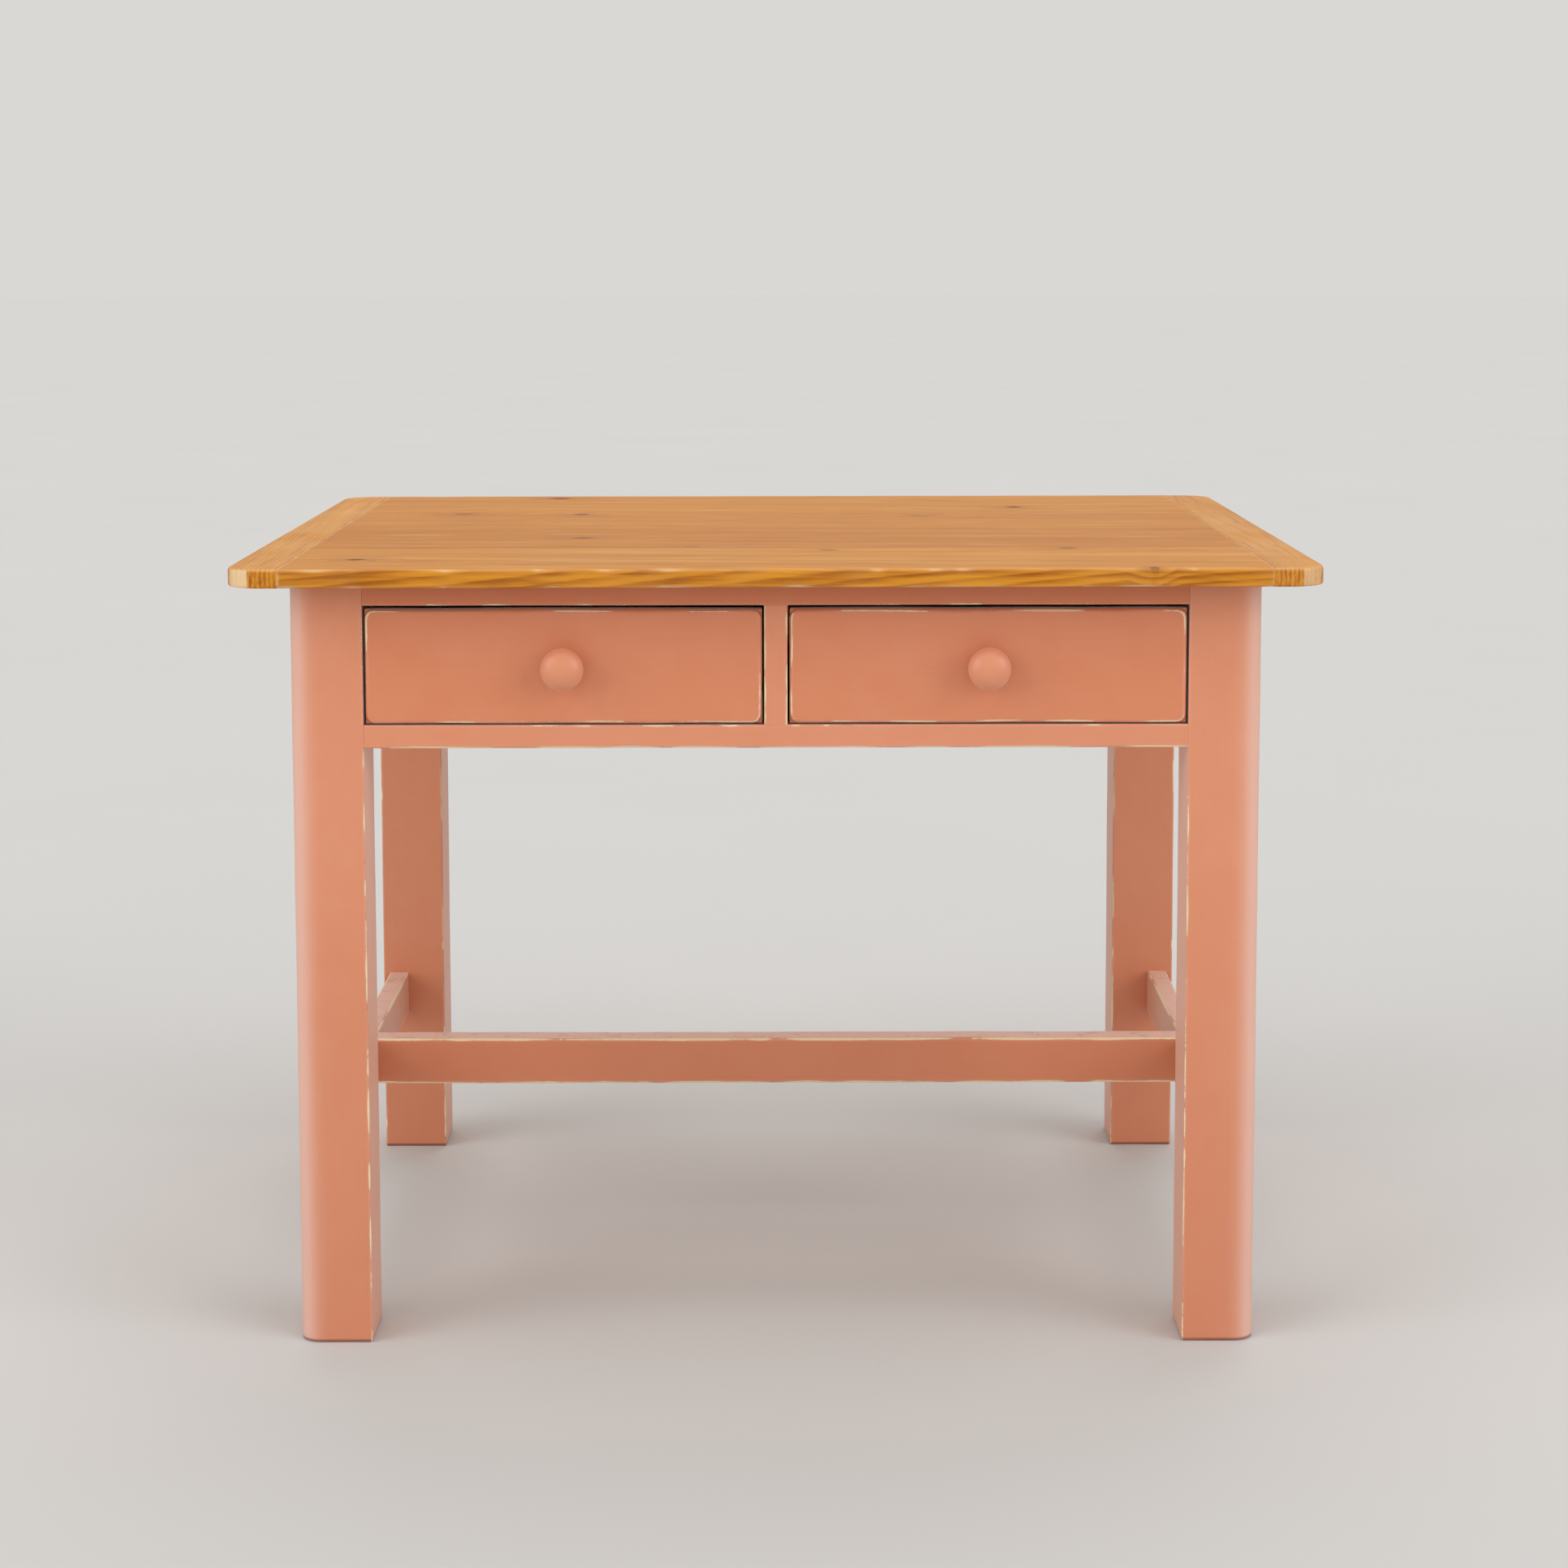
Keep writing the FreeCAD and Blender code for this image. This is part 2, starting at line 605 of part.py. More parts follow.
def side_apron():
    """The apron under the left end of the top, on haunched tenons."""
    outer = -LEG_OUTER_X + APRON_INSET
    apron = block(
        (outer, -APRON_FACE_X), both_ways(LEG_INNER_Y), (APRON_BOTTOM, TOP_UNDERSIDE)
    )
    apron = apron.makeFillet(ARRIS_RADIUS, edges_at(apron, x=outer, z=APRON_BOTTOM))
    return joined(apron, block(*SIDE_APRON_TENON), block(*SIDE_APRON_HAUNCH))


def button_tongue(x, gap):
    """The lip of a button that reaches into its slot in the back apron."""
    return block(
        grown(around(x, BUTTON_WIDTH), gap),
        (APRON_FACE_Y - END_GAP, APRON_FACE_Y + BUTTON_TONGUE_LENGTH + gap),
        grown((SCREW_SEAT, SCREW_SEAT + BUTTON_TONGUE_HEIGHT), gap),
    )


def back_apron():
    """The apron along the back, slotted inside for the buttons that hold the top."""
    outer = LEG_OUTER_Y - APRON_INSET
    apron = block(
        both_ways(LEG_INNER_X), (APRON_FACE_Y, outer), (APRON_BOTTOM, TOP_UNDERSIDE)
    )
    apron = apron.makeFillet(ARRIS_RADIUS, edges_at(apron, y=outer, z=APRON_BOTTOM))
    apron = joined(apron, block(*BACK_APRON_TENON), block(*BACK_APRON_HAUNCH))
    slots = [button_tongue(x, GLUE_GAP) for x in BUTTON_PLACES]
    return cut_by(apron, slots + stub_holes(RUNNER_STUBS) + stub_holes(KICKER_STUBS))


def top_buttons():
    """Small wooden blocks under the top that hook into the back apron."""
    heights = (SCREW_SEAT, TOP_UNDERSIDE)
    body_span = (APRON_FACE_Y - BUTTON_LENGTH, APRON_FACE_Y - END_GAP)
    buttons = []
    for x in BUTTON_PLACES:
        body = block(around(x, BUTTON_WIDTH), body_span, heights)
        buttons.append(cut_by(joined(body, button_tongue(x, 0.0)), screw_holes(BUTTON_SCREWS)))
    return Part.makeCompound(buttons)


def side_stretcher():
    """The low stretcher between the left-hand legs, mortised for the long stretcher."""
    x_span = around(SIDE_STRETCHER_X, SIDE_STRETCHER_THICKNESS)
    bar = block(x_span, both_ways(LEG_INNER_Y), STRETCHER_HEIGHTS)
    long_edges = [edge for x in x_span for z in STRETCHER_HEIGHTS for edge in edges_at(bar, x=x, z=z)]
    bar = bar.makeFillet(ARRIS_RADIUS, long_edges)
    return joined(bar, block(*SIDE_STRETCHER_TENON)).cut(mortise(LONG_STRETCHER_TENON, 0))


def long_stretcher():
    """The stretcher that runs along the middle of the table, from side to side."""
    y_span = both_ways(LONG_STRETCHER_THICKNESS / 2)
    bar = block(both_ways(STRETCHER_SHOULDER_X), y_span, STRETCHER_HEIGHTS)
    long_edges = [edge for y in y_span for z in STRETCHER_HEIGHTS for edge in edges_at(bar, y=y, z=z)]
    bar = bar.makeFillet(ARRIS_RADIUS, long_edges)
    return joined(bar, block(*LONG_STRETCHER_TENON))


# ---- What the drawers run on ----------------------------------------------------------------


def side_strip(bottom, stub):
    """A strip along the left apron, notched round the legs to meet the rail and the back apron."""
    heights = (bottom, bottom + RAIL_HEIGHT)
    between_legs = block(SIDE_RUNNER_SPAN, both_ways(LEG_INNER_Y), heights)
    ledge = block(LEDGE_SPAN, (RAIL_BACK, APRON_FACE_Y), heights)
    return joined(between_legs, ledge, block(*stub))


def middle_strip(bottom, stub):
    """A strip from front to back under or over the inner sides of both drawers."""
    strip = block(MIDDLE_SPAN, (RAIL_BACK, APRON_FACE_Y), (bottom, bottom + RAIL_HEIGHT))
    return joined(strip, block(*stub))


def drilled_strips(name, bottom, stubs, places, well):
    """The left, middle and right strips at one height, drilled for the screws that pass them."""
    side, middle = stubs
    left = side_strip(bottom, side)
    strips = {"left": left, "middle": middle_strip(bottom, middle), "right": mirrored(left)}
    holes = screw_holes(places, well)
    return {"%s_%s" % (name, place): cut_by(strip, holes) for place, strip in strips.items()}


def drawer_guides():
    """Strips on the runners that keep the drawers straight."""
    heights = (OPENING_BOTTOM, OPENING_BOTTOM + GUIDE_HEIGHT)
    left = block((-APRON_FACE_X, -LEG_INNER_X), both_ways(LEG_INNER_Y), heights)
    middle = block(both_ways(DIVIDER_WIDTH / 2), (RAIL_BACK, APRON_FACE_Y), heights)
    guides = {"left": left, "middle": middle, "right": mirrored(left)}
    holes = screw_holes(GUIDE_SCREWS)
    return {"guide_%s" % place: cut_by(guide, holes) for place, guide in guides.items()}


def drawer_stops():
    """Blocks on the bottom rail that stop each drawer front flush with the legs."""
    y_span = (DRAWER_FRONT_BACK + DRAWER_RUN_CLEARANCE, RAIL_BACK)
    z_span = (OPENING_BOTTOM, OPENING_BOTTOM + STOP_HEIGHT)
    middles = [
        centre + offset
        for centre in (-DRAWER_CENTRE, DRAWER_CENTRE)
        for offset in (-STOP_SPREAD / 2, STOP_SPREAD / 2)
    ]
    return Part.makeCompound([block(around(x, STOP_WIDTH), y_span, z_span) for x in middles])


# ---- Drawer, built with its middle at x = 0 -------------------------------------------------


def dovetails(x_span, z_span, root, end, gap):
    """Dovetail tails in a row up the end of a drawer side, each wider at its end than its root."""
    pitch = (z_span[1] - z_span[0]) / DOVETAIL_COUNT
    wide = (pitch - DOVETAIL_PIN) / 2 + gap
    narrow = wide - abs(end - root) * DOVETAIL_SLOPE
    tip = end + math.copysign(gap, end - root)
    tails = []
    for i in range(DOVETAIL_COUNT):
        middle = z_span[0] + pitch * (i + 0.5)
        points = [
            Vector(x_span[0], root, middle - narrow),
            Vector(x_span[0], root, middle + narrow),
            Vector(x_span[0], tip, middle + wide),
            Vector(x_span[0], tip, middle - wide),
        ]
        tails.append(prism(points, Vector(x_span[1] - x_span[0], 0, 0)))
    return tails


SIDE_SPAN = (-DRAWER_WIDTH / 2, -DRAWER_WIDTH / 2 + DRAWER_SIDE_THICKNESS)
SIDE_HEIGHTS = (SIDE_BOTTOM, SIDE_TOP)
PANEL_HEIGHTS = (SIDE_BOTTOM + GROOVE_RISE, SIDE_BOTTOM + GROOVE_RISE + DRAWER_BOTTOM_THICKNESS)
PANEL_HALF_WIDTH = -SIDE_SPAN[1] + GROOVE_DEPTH - PANEL_PLAY
PANEL_FRONT = DRAWER_FRONT_BACK - GROOVE_DEPTH + PANEL_PLAY
BACK_SPAN = (DRAWER_END - DRAWER_BACK_THICKNESS, DRAWER_END)
BACK_HEIGHTS = (PANEL_HEIGHTS[1] + GLUE_GAP, SIDE_TOP - DRAWER_BACK_DROP)


def front_tails(gap):
    """The half-blind tails at the front of the left-hand drawer side."""
    end = DRAWER_FRONT_BACK - TAIL_LENGTH
    return dovetails(grown(SIDE_SPAN, gap), SIDE_HEIGHTS, DRAWER_FRONT_BACK, end, gap)


def back_tails(gap):
    """The through tails at the back of the left-hand drawer side."""
    return dovetails(grown(SIDE_SPAN, gap), BACK_HEIGHTS, BACK_SPAN[0], BACK_SPAN[1], gap)


def panel_slot():
    """The groove round the drawer that the bottom panel slides into from behind."""
    return block(
        both_ways(PANEL_HALF_WIDTH + PANEL_PLAY),
        (PANEL_FRONT - PANEL_PLAY, DRAWER_END + PANEL_PLAY),
        grown(PANEL_HEIGHTS, GLUE_GAP),
    )


def drawer_front():
    """The front, its face rounded over all round, socketed for the tails of the sides."""
    y_span = (DRAWER_FACE, DRAWER_FRONT_BACK)
    front = block(both_ways(DRAWER_WIDTH / 2), y_span, (FRONT_BOTTOM, FRONT_TOP))
    front = front.makeFillet(DRAWER_ARRIS_RADIUS, edges_at(front, y=DRAWER_FACE))
    sockets = [half for tail in front_tails(GLUE_GAP) for half in pair(tail)]
    return cut_by(front, sockets + [panel_slot(), knob_screw(GLUE_GAP)])


def drawer_side():
    """The left-hand side, with half-blind tails in front and through tails behind."""
    body = block(SIDE_SPAN, (DRAWER_FRONT_BACK, DRAWER_END), SIDE_HEIGHTS)
    pins = block(
        grown(SIDE_SPAN, GLUE_GAP),
        (BACK_SPAN[0], BACK_SPAN[1] + GLUE_GAP),
        grown(BACK_HEIGHTS, GLUE_GAP),
    )
    pins = cut_by(pins, back_tails(0.0))
    return joined(body, *front_tails(0.0)).cut([pins, panel_slot()])


def drawer_back():
    """The back, which stands on the bottom panel between the through tails of the sides."""
    back = block(both_ways(DRAWER_WIDTH / 2), BACK_SPAN, BACK_HEIGHTS)
    sockets = [half for tail in back_tails(GLUE_GAP) for half in pair(tail)]
    return cut_by(back, sockets + nails(GLUE_GAP))


def drawer_bottom():
    """The thin panel in the grooves, nailed up into the back."""
    panel = block(both_ways(PANEL_HALF_WIDTH), (PANEL_FRONT, DRAWER_END), PANEL_HEIGHTS)
    return cut_by(panel, nails(GLUE_GAP))


def nails(gap):
    """The flat-headed nails that hold the bottom panel up to the back."""
    head = NAIL_HEAD_DIAMETER / 2 + gap
    shank = NAIL_DIAMETER / 2 + gap
    tip = NAIL_TIP_DIAMETER / 2 + gap
    nail = stacked(
        [
            (head, 0),
            (head, NAIL_HEAD_THICKNESS + gap),
            (shank, NAIL_HEAD_THICKNESS + gap),
            (shank, NAIL_LENGTH - NAIL_TIP),
            (tip, NAIL_LENGTH + gap),
        ]
    )
    y = sum(BACK_SPAN) / 2
    places = [(x, y, PANEL_HEIGHTS[0], True) for x in (-NAIL_SPREAD, 0.0, NAIL_SPREAD)]
    return [placed(nail, place) for place in places]


def along_front(shape):
    """A shape turned about Z, laid over so that its axis points out of the drawer front."""
    copy = shape.copy()
    copy.rotate(Vector(0, 0, 0), Vector(1, 0, 0), FULL_TURN / 4)
    copy.translate(Vector(0, 0, KNOB_HEIGHT))
    return copy


def knob_screw(gap):
    """The screw through the drawer front into the knob, its round head inside the drawer."""
    head = SCREW_HEAD_DIAMETER / 2 + gap
    shank = SCREW_DIAMETER / 2 + gap
    seat = -DRAWER_FRONT_BACK
    tip = -DRAWER_FACE + KNOB_SCREW_BITE
    end = SCREW_TIP_DIAMETER / 2 + gap
    screw = stacked(
        [
            (head / 2, KNOB_SCREW_FACE),
            (head, (KNOB_SCREW_FACE + seat) / 2),
            (head, seat),
            (shank, seat),
            (shank, tip - SCREW_TIP),
            (end, tip + gap),
        ]
    )
    return along_front(screw)


def knob():
    """The turned knob: a narrow foot and neck, and a head like a flattened ball."""
    face = -DRAWER_FACE
    head_bottom = face + KNOB_HEAD_RISE
    rim = (KNOB_DIAMETER / 2, face + KNOB_EDGE_HEIGHT)
    foot = (KNOB_FOOT_DIAMETER / 2, face)
    neck = (KNOB_NECK_DIAMETER / 2, (face + head_bottom) / 2)
    shoulder = (KNOB_SHOULDER_DIAMETER / 2, head_bottom)
    crown = (KNOB_CROWN_DIAMETER / 2, face + KNOB_LENGTH)
    outline = [foot]
    outline += quarter_oval((foot[0], neck[1]), foot, neck, KNOB_NECK_STEPS)
    outline += quarter_oval((shoulder[0], neck[1]), neck, shoulder, KNOB_NECK_STEPS)
    outline += quarter_oval((shoulder[0], rim[1]), shoulder, rim, KNOB_HEAD_STEPS)
    outline += quarter_oval((crown[0], rim[1]), rim, crown, KNOB_HEAD_STEPS)
    return along_front(stacked(outline, KNOB_SIDES)).cut(knob_screw(GLUE_GAP))


def drawer():
    """Every piece of one drawer, with its middle at x = 0."""
    side = drawer_side()
    return {
        "front": drawer_front(),
        "side_left": side,
        "side_right": mirrored(side),
        "back": drawer_back(),
        "bottom": drawer_bottom(),
        "bottom_nails": Part.makeCompound(nails(0.0)),
        "knob": knob(),
        "knob_screw": knob_screw(0.0).cut(along_front(screw_slot(KNOB_SCREW_FACE))),
    }


# ---- The whole table ------------------------------------------------------------------------


def table():
    """Every piece of the table by name."""
    slab = top_outline()
    pieces = top_boards(slab)
    sided = {
        "breadboard": breadboard(slab),
        "leg_front": leg(True),
        "leg_back": leg(False),
        "apron": side_apron(),
        "stretcher": side_stretcher(),
    }
    for name, shape in sided.items():
        pieces[name + "_left"] = shape
        pieces[name + "_right"] = mirrored(shape)
    pieces["apron_back"] = back_apron()
    pieces["stretcher_long"] = long_stretcher()
    pieces["front_top_rail"] = front_top_rail()
    pieces["front_bottom_rail"] = front_bottom_rail()
    pieces["drawer_divider"] = drawer_divider()
    pieces["top_buttons"] = top_buttons()
    pieces["top_screws"] = screws(TOP_SCREWS)
    pieces["guide_screws"] = screws(GUIDE_SCREWS)
    pieces["drawer_stops"] = drawer_stops()
    pieces.update(drilled_strips("runner", APRON_BOTTOM, RUNNER_STUBS, GUIDE_SCREWS, 0.0))
    pieces.update(drilled_strips("kicker", OPENING_TOP, KICKER_STUBS, KICKER_SCREWS, SCREW_WELL))
    pieces.update(drawer_guides())
    for side, centre in (("left", -DRAWER_CENTRE), ("right", DRAWER_CENTRE)):
        for name, shape in drawer().items():
            shape.translate(Vector(centre, 0, 0))
            pieces["drawer_%s_%s" % (side, name)] = shape
    return pieces


def save(name, shape):
    """Writes one piece, or one group of equal pieces, to its own file."""
    solids = shape.Solids
    whole = solids[0] if len(solids) == 1 else Part.makeCompound(solids)
    whole.exportStep("parts/%s.step" % name)


os.makedirs("parts", exist_ok=True)
for piece_name, piece_shape in table().items():
    save(piece_name, piece_shape)
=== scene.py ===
"""A pine kitchen table with two drawers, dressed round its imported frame.

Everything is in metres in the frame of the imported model: +X to the right, +Y to the back, +Z up,
with the floor at zero. The drawers face -Y.
"""

import logging
import math
from collections.abc import Iterable
from dataclasses import dataclass
from enum import Enum

import bmesh
import bpy
import numpy as np
from mathutils import Matrix, Vector


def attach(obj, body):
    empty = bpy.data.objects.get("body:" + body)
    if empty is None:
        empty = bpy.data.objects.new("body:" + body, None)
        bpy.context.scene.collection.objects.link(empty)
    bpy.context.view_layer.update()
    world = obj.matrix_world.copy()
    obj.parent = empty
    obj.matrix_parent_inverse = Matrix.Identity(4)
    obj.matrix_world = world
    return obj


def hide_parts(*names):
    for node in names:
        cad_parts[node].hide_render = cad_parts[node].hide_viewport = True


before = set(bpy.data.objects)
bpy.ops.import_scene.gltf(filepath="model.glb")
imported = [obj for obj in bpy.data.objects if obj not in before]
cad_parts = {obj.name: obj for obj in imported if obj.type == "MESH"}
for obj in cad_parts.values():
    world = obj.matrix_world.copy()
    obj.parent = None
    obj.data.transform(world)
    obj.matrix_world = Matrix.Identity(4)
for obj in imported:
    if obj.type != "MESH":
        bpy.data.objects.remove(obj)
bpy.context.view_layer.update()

LOG = logging.getLogger("kitchen_table")
MM = 0.001
Colour = tuple[float, float, float, float]
Point = tuple[float, float, float]
Pair = tuple[float, float]


class Axis(Enum):
    """The way that the grain of a piece runs."""

    X = 0
    Y = 1
    Z = 2

    def across(self) -> list[int]:
        """The numbers of the two axes that the grain doesn't run along."""
        return [i for i in range(3) if i != self.value]

    def row(self, beside: float, along: float) -> list[float]:
        """A value for each axis: one along the grain and another beside it."""
        return [along if i == self.value else beside for i in range(3)]


class Coat(Enum):
    """The finishes of the table, by their slots in the record."""

    PAINT = "painted_pine"
    WAX = "waxed_pine"
    BARE = "bare_pine"
    STEEL = "steel"


class Body(Enum):
    """The bodies that pieces ride on."""

    TABLE = "table"
    LEFT_DRAWER = "drawer_left"
    RIGHT_DRAWER = "drawer_right"


def srgb(red: int, green: int, blue: int) -> Colour:
    """Turns a display colour into a scene colour.

    Args:
        red: Red from 0 to 255.
        green: Green from 0 to 255.
        blue: Blue from 0 to 255.

    Returns:
        The linear colour with full alpha.
    """
    shares = [value / 255 for value in (red, green, blue)]
    linear = [s / 12.92 if s <= 0.04045 else ((s + 0.055) / 1.055) ** 2.4 for s in shares]
    return (linear[0], linear[1], linear[2], 1.0)


# ---- Node graphs ----------------------------------------------------------------------------


class Graph:
    """A node tree that is written with one method for nodes and arithmetic for maths."""

    def __init__(self, tree: bpy.types.NodeTree) -> None:
        """Wraps a tree and clears it."""
        self.tree = tree
        self.tree.nodes.clear()

    def node(
        self, kind: str, settings: dict | None = None, values: dict | None = None
    ) -> bpy.types.Node:
        """Adds any node.

        Args:
            kind: The node's type.
            settings: Its own settings, which are set first.
            values: What its inputs hold by name or number: a number, a tuple or a Socket.

        Returns:
            The new node.
        """
        made = self.tree.nodes.new(kind)
        for key, value in (settings or {}).items():
            setattr(made, key, value)
        for key, value in (values or {}).items():
            if isinstance(value, Socket):
                self.tree.links.new(value.end, made.inputs[key])
            else:
                made.inputs[key].default_value = value
        return made

    def out(
        self,
        kind: str,
        settings: dict | None = None,
        values: dict | None = None,
        end: int | str = 0,
    ) -> "Socket":
        """Adds any node and gives the output of a name or number as a socket for arithmetic."""
        return Socket(self, self.node(kind, settings, values).outputs[end])

    def vector(self, x: "Number", y: "Number", z: "Number") -> "Socket":
        """A vector from three values."""
        return self.out("ShaderNodeCombineXYZ", None, {0: x, 1: y, 2: z})

    def parts(self, vector: "Socket") -> list["Socket"]:
        """The three parts of a vector."""
        split = self.node("ShaderNodeSeparateXYZ", None, {0: vector})
        return [Socket(self, end) for end in split.outputs]


class Socket:
    """A node's output that takes part in ordinary arithmetic."""

    def __init__(self, graph: Graph, end: bpy.types.NodeSocket) -> None:
        """Wraps an output of a node in a graph."""
        self.graph = graph
        self.end = end

    def _math(self, operation: str, *values: "Number", clamp: bool = False) -> "Socket":
        """A Math node on some values."""
        settings = {"operation": operation, "use_clamp": clamp}
        return self.graph.out("ShaderNodeMath", settings, dict(enumerate(values)))

    def __add__(self, other: "Number") -> "Socket":
        """This plus another."""
        return self._math("ADD", self, other)

    def __mul__(self, other: "Number") -> "Socket":
        """This times another."""
        return self._math("MULTIPLY", self, other)

    def __sub__(self, other: "Number") -> "Socket":
        """This less another."""
        return self._math("SUBTRACT", self, other)

    def __rsub__(self, other: "Number") -> "Socket":
        """Another less this."""
        return self._math("SUBTRACT", other, self)

    def __truediv__(self, other: "Number") -> "Socket":
        """This over another."""
        return self._math("DIVIDE", self, other)

    def __pow__(self, other: "Number") -> "Socket":
        """This to a power."""
        return self._math("POWER", self, other)

    def clamped(self) -> "Socket":
        """This kept between zero and one."""
        return self._math("ADD", self, 0.0, clamp=True)

    def fraction(self) -> "Socket":
        """What is left of this over a whole number."""
        return self._math("FRACT", self)

    def unsigned(self) -> "Socket":
        """This without its sign."""
        return self._math("ABSOLUTE", self)

    def cosine(self) -> "Socket":
        """The cosine of this angle."""
        return self._math("COSINE", self)

    def sine(self) -> "Socket":
        """The sine of this angle."""
        return self._math("SINE", self)

    def above(self, other: "Number") -> "Socket":
        """One where this is the greater, and zero elsewhere."""
        return self._math("GREATER_THAN", self, other)

    def least(self, other: "Number") -> "Socket":
        """The smaller of this and another."""
        return self._math("MINIMUM", self, other)

    def most(self, other: "Number") -> "Socket":
        """The greater of this and another."""
        return self._math("MAXIMUM", self, other)

    def line(self, gain: float, base: float) -> "Socket":
        """This times a gain, on top of a base."""
        return self * gain + base

    def rise(self, low: float, high: float) -> "Socket":
        """A smooth step from zero at low to one at high."""
        values = {"Value": self, "From Min": low, "From Max": high, "To Min": 0.0, "To Max": 1.0}
        return self.graph.out("ShaderNodeMapRange", {"interpolation_type": "SMOOTHSTEP"}, values)


Number = float | Socket


def stretched(place: Iterable[Socket], factors: Iterable[float]) -> list[Socket]:
    """The parts of a point, each times a factor of its own."""
    return [part * factor for part, factor in zip(place, factors)]


def mottled(level: Number, layers: Iterable[Socket], moves: Iterable[float]) -> Socket:
    """A level with noises round it.

    Args:
        level: What it is where every noise is at its middle.
        layers: The noises, from zero to one.
        moves: How far each noise moves the level.

    Returns:
        The moved level.
    """
    for layer, move in zip(layers, moves):
        level = (layer - 0.5) * move + level
    return level


@dataclass(frozen=True)
class Waves:
    """A smooth noise: waves for each unit, finer layers, and how strong those are."""

    scale: float = 1.0
    detail: float = 2.0
    roughness: float = 0.5


class Shader(Graph):
    """A material's node tree."""

    def __init__(self, name: str) -> None:
        """Makes a new material.

        Args:
            name: The material's name.
        """
        self.material = bpy.data.materials.new(name)
        self.material.use_nodes = True
        super().__init__(self.material.node_tree)

    def place(self) -> list[Socket]:
        """The three object coordinates, in metres."""
        return self.parts(self.out("ShaderNodeTexCoord", end="Object"))

    def attribute(self, name: str, end: str = "Fac") -> Socket:
        """A value that is kept on the mesh."""
        return self.out("ShaderNodeAttribute", {"attribute_name": name}, None, end)

    def noise(self, point: Iterable[Socket], waves: Waves) -> Socket:
        """Smooth noise from zero to one, read at the point of three parts."""
        values = {"Scale": waves.scale, "Detail": waves.detail, "Roughness": waves.roughness}
        return self.out("ShaderNodeTexNoise", None, {"Vector": self.vector(*point), **values})

    def blend(self, share: Number, first: Colour | Socket, second: Colour | Socket) -> Socket:
        """A colour with a share of a second one mixed in."""
        settings = {"data_type": "RGBA", "clamp_factor": True}
        return self.out("ShaderNodeMix", settings, {0: share, 6: first, 7: second}, 2)

    def bump(self, height: Socket, distance: float, strength: float) -> Socket:
        """A normal bent by a height, of which one stands for a distance in metres."""
        values = {"Height": height, "Distance": distance, "Strength": strength}
        return self.out("ShaderNodeBump", None, values, "Normal")

    def finish(
        self, colour: Socket, roughness: Number, normal: Socket | None, **constants: float | Colour
    ) -> bpy.types.Material:
        """Joins the material's surface up.

        Args:
            colour: The base colour.
            roughness: The roughness.
            normal: The bent normal, if any.
            **constants: Sockets of the shader that are the same all over, with _ for a space.

        Returns:
            The material.
        """
        values = {"Base Color": colour, "Roughness": roughness}
        if normal is not None:
            values["Normal"] = normal
        values.update({key.replace("_", " "): value for key, value in constants.items()})
        surface = self.out("ShaderNodeBsdfPrincipled", None, values)
        self.node("ShaderNodeOutputMaterial", None, {"Surface": surface})
        return self.material


# ---- Finishes -------------------------------------------------------------------------------


@dataclass(frozen=True)
class Knot:
    """A knot in the face of the top.

    Its middle, its half sizes and its darkness come first. The rest is alike for every knot: how
    ragged it is, how far it reaches along the board, how it bends the growth rings, the power of
    its dark core, and the halo round it.
    """

    x: float
    y: float
    long: float
    wide: float
    dark: float
    ragged: float = 1.1
    reach: float = 0.4
    bend: Pair = (0.08, 1.1)
    core: float = 0.6
    halo: Pair = (0.16, 0.26)

    def draw(self, place: list[Socket], noises: list[Socket]) -> tuple[Socket, Socket]:
        """Draws the knot.

        Args:
            place: The object coordinates.
            noises: Noises about zero that roughen its outline in x and in y.

        Returns:
            How far it pushes the growth rings, and how dark it is.
        """
        off_x = (place[0] - self.x) / self.long + noises[0] * self.ragged
        off_y = (place[1] - self.y) / self.wide + noises[1] * self.ragged
        near = off_x * off_x * self.reach + off_y * off_y
        push = (1.0 - near * self.bend[0]).clamped() ** 2.0 * (self.wide * self.bend[1])
        core = (1.0 - (off_x * off_x + off_y * off_y)).clamped() ** self.core
        halo = (1.0 - near * self.halo[0]).clamped() * self.halo[1]
        return push, (core + halo) * self.dark


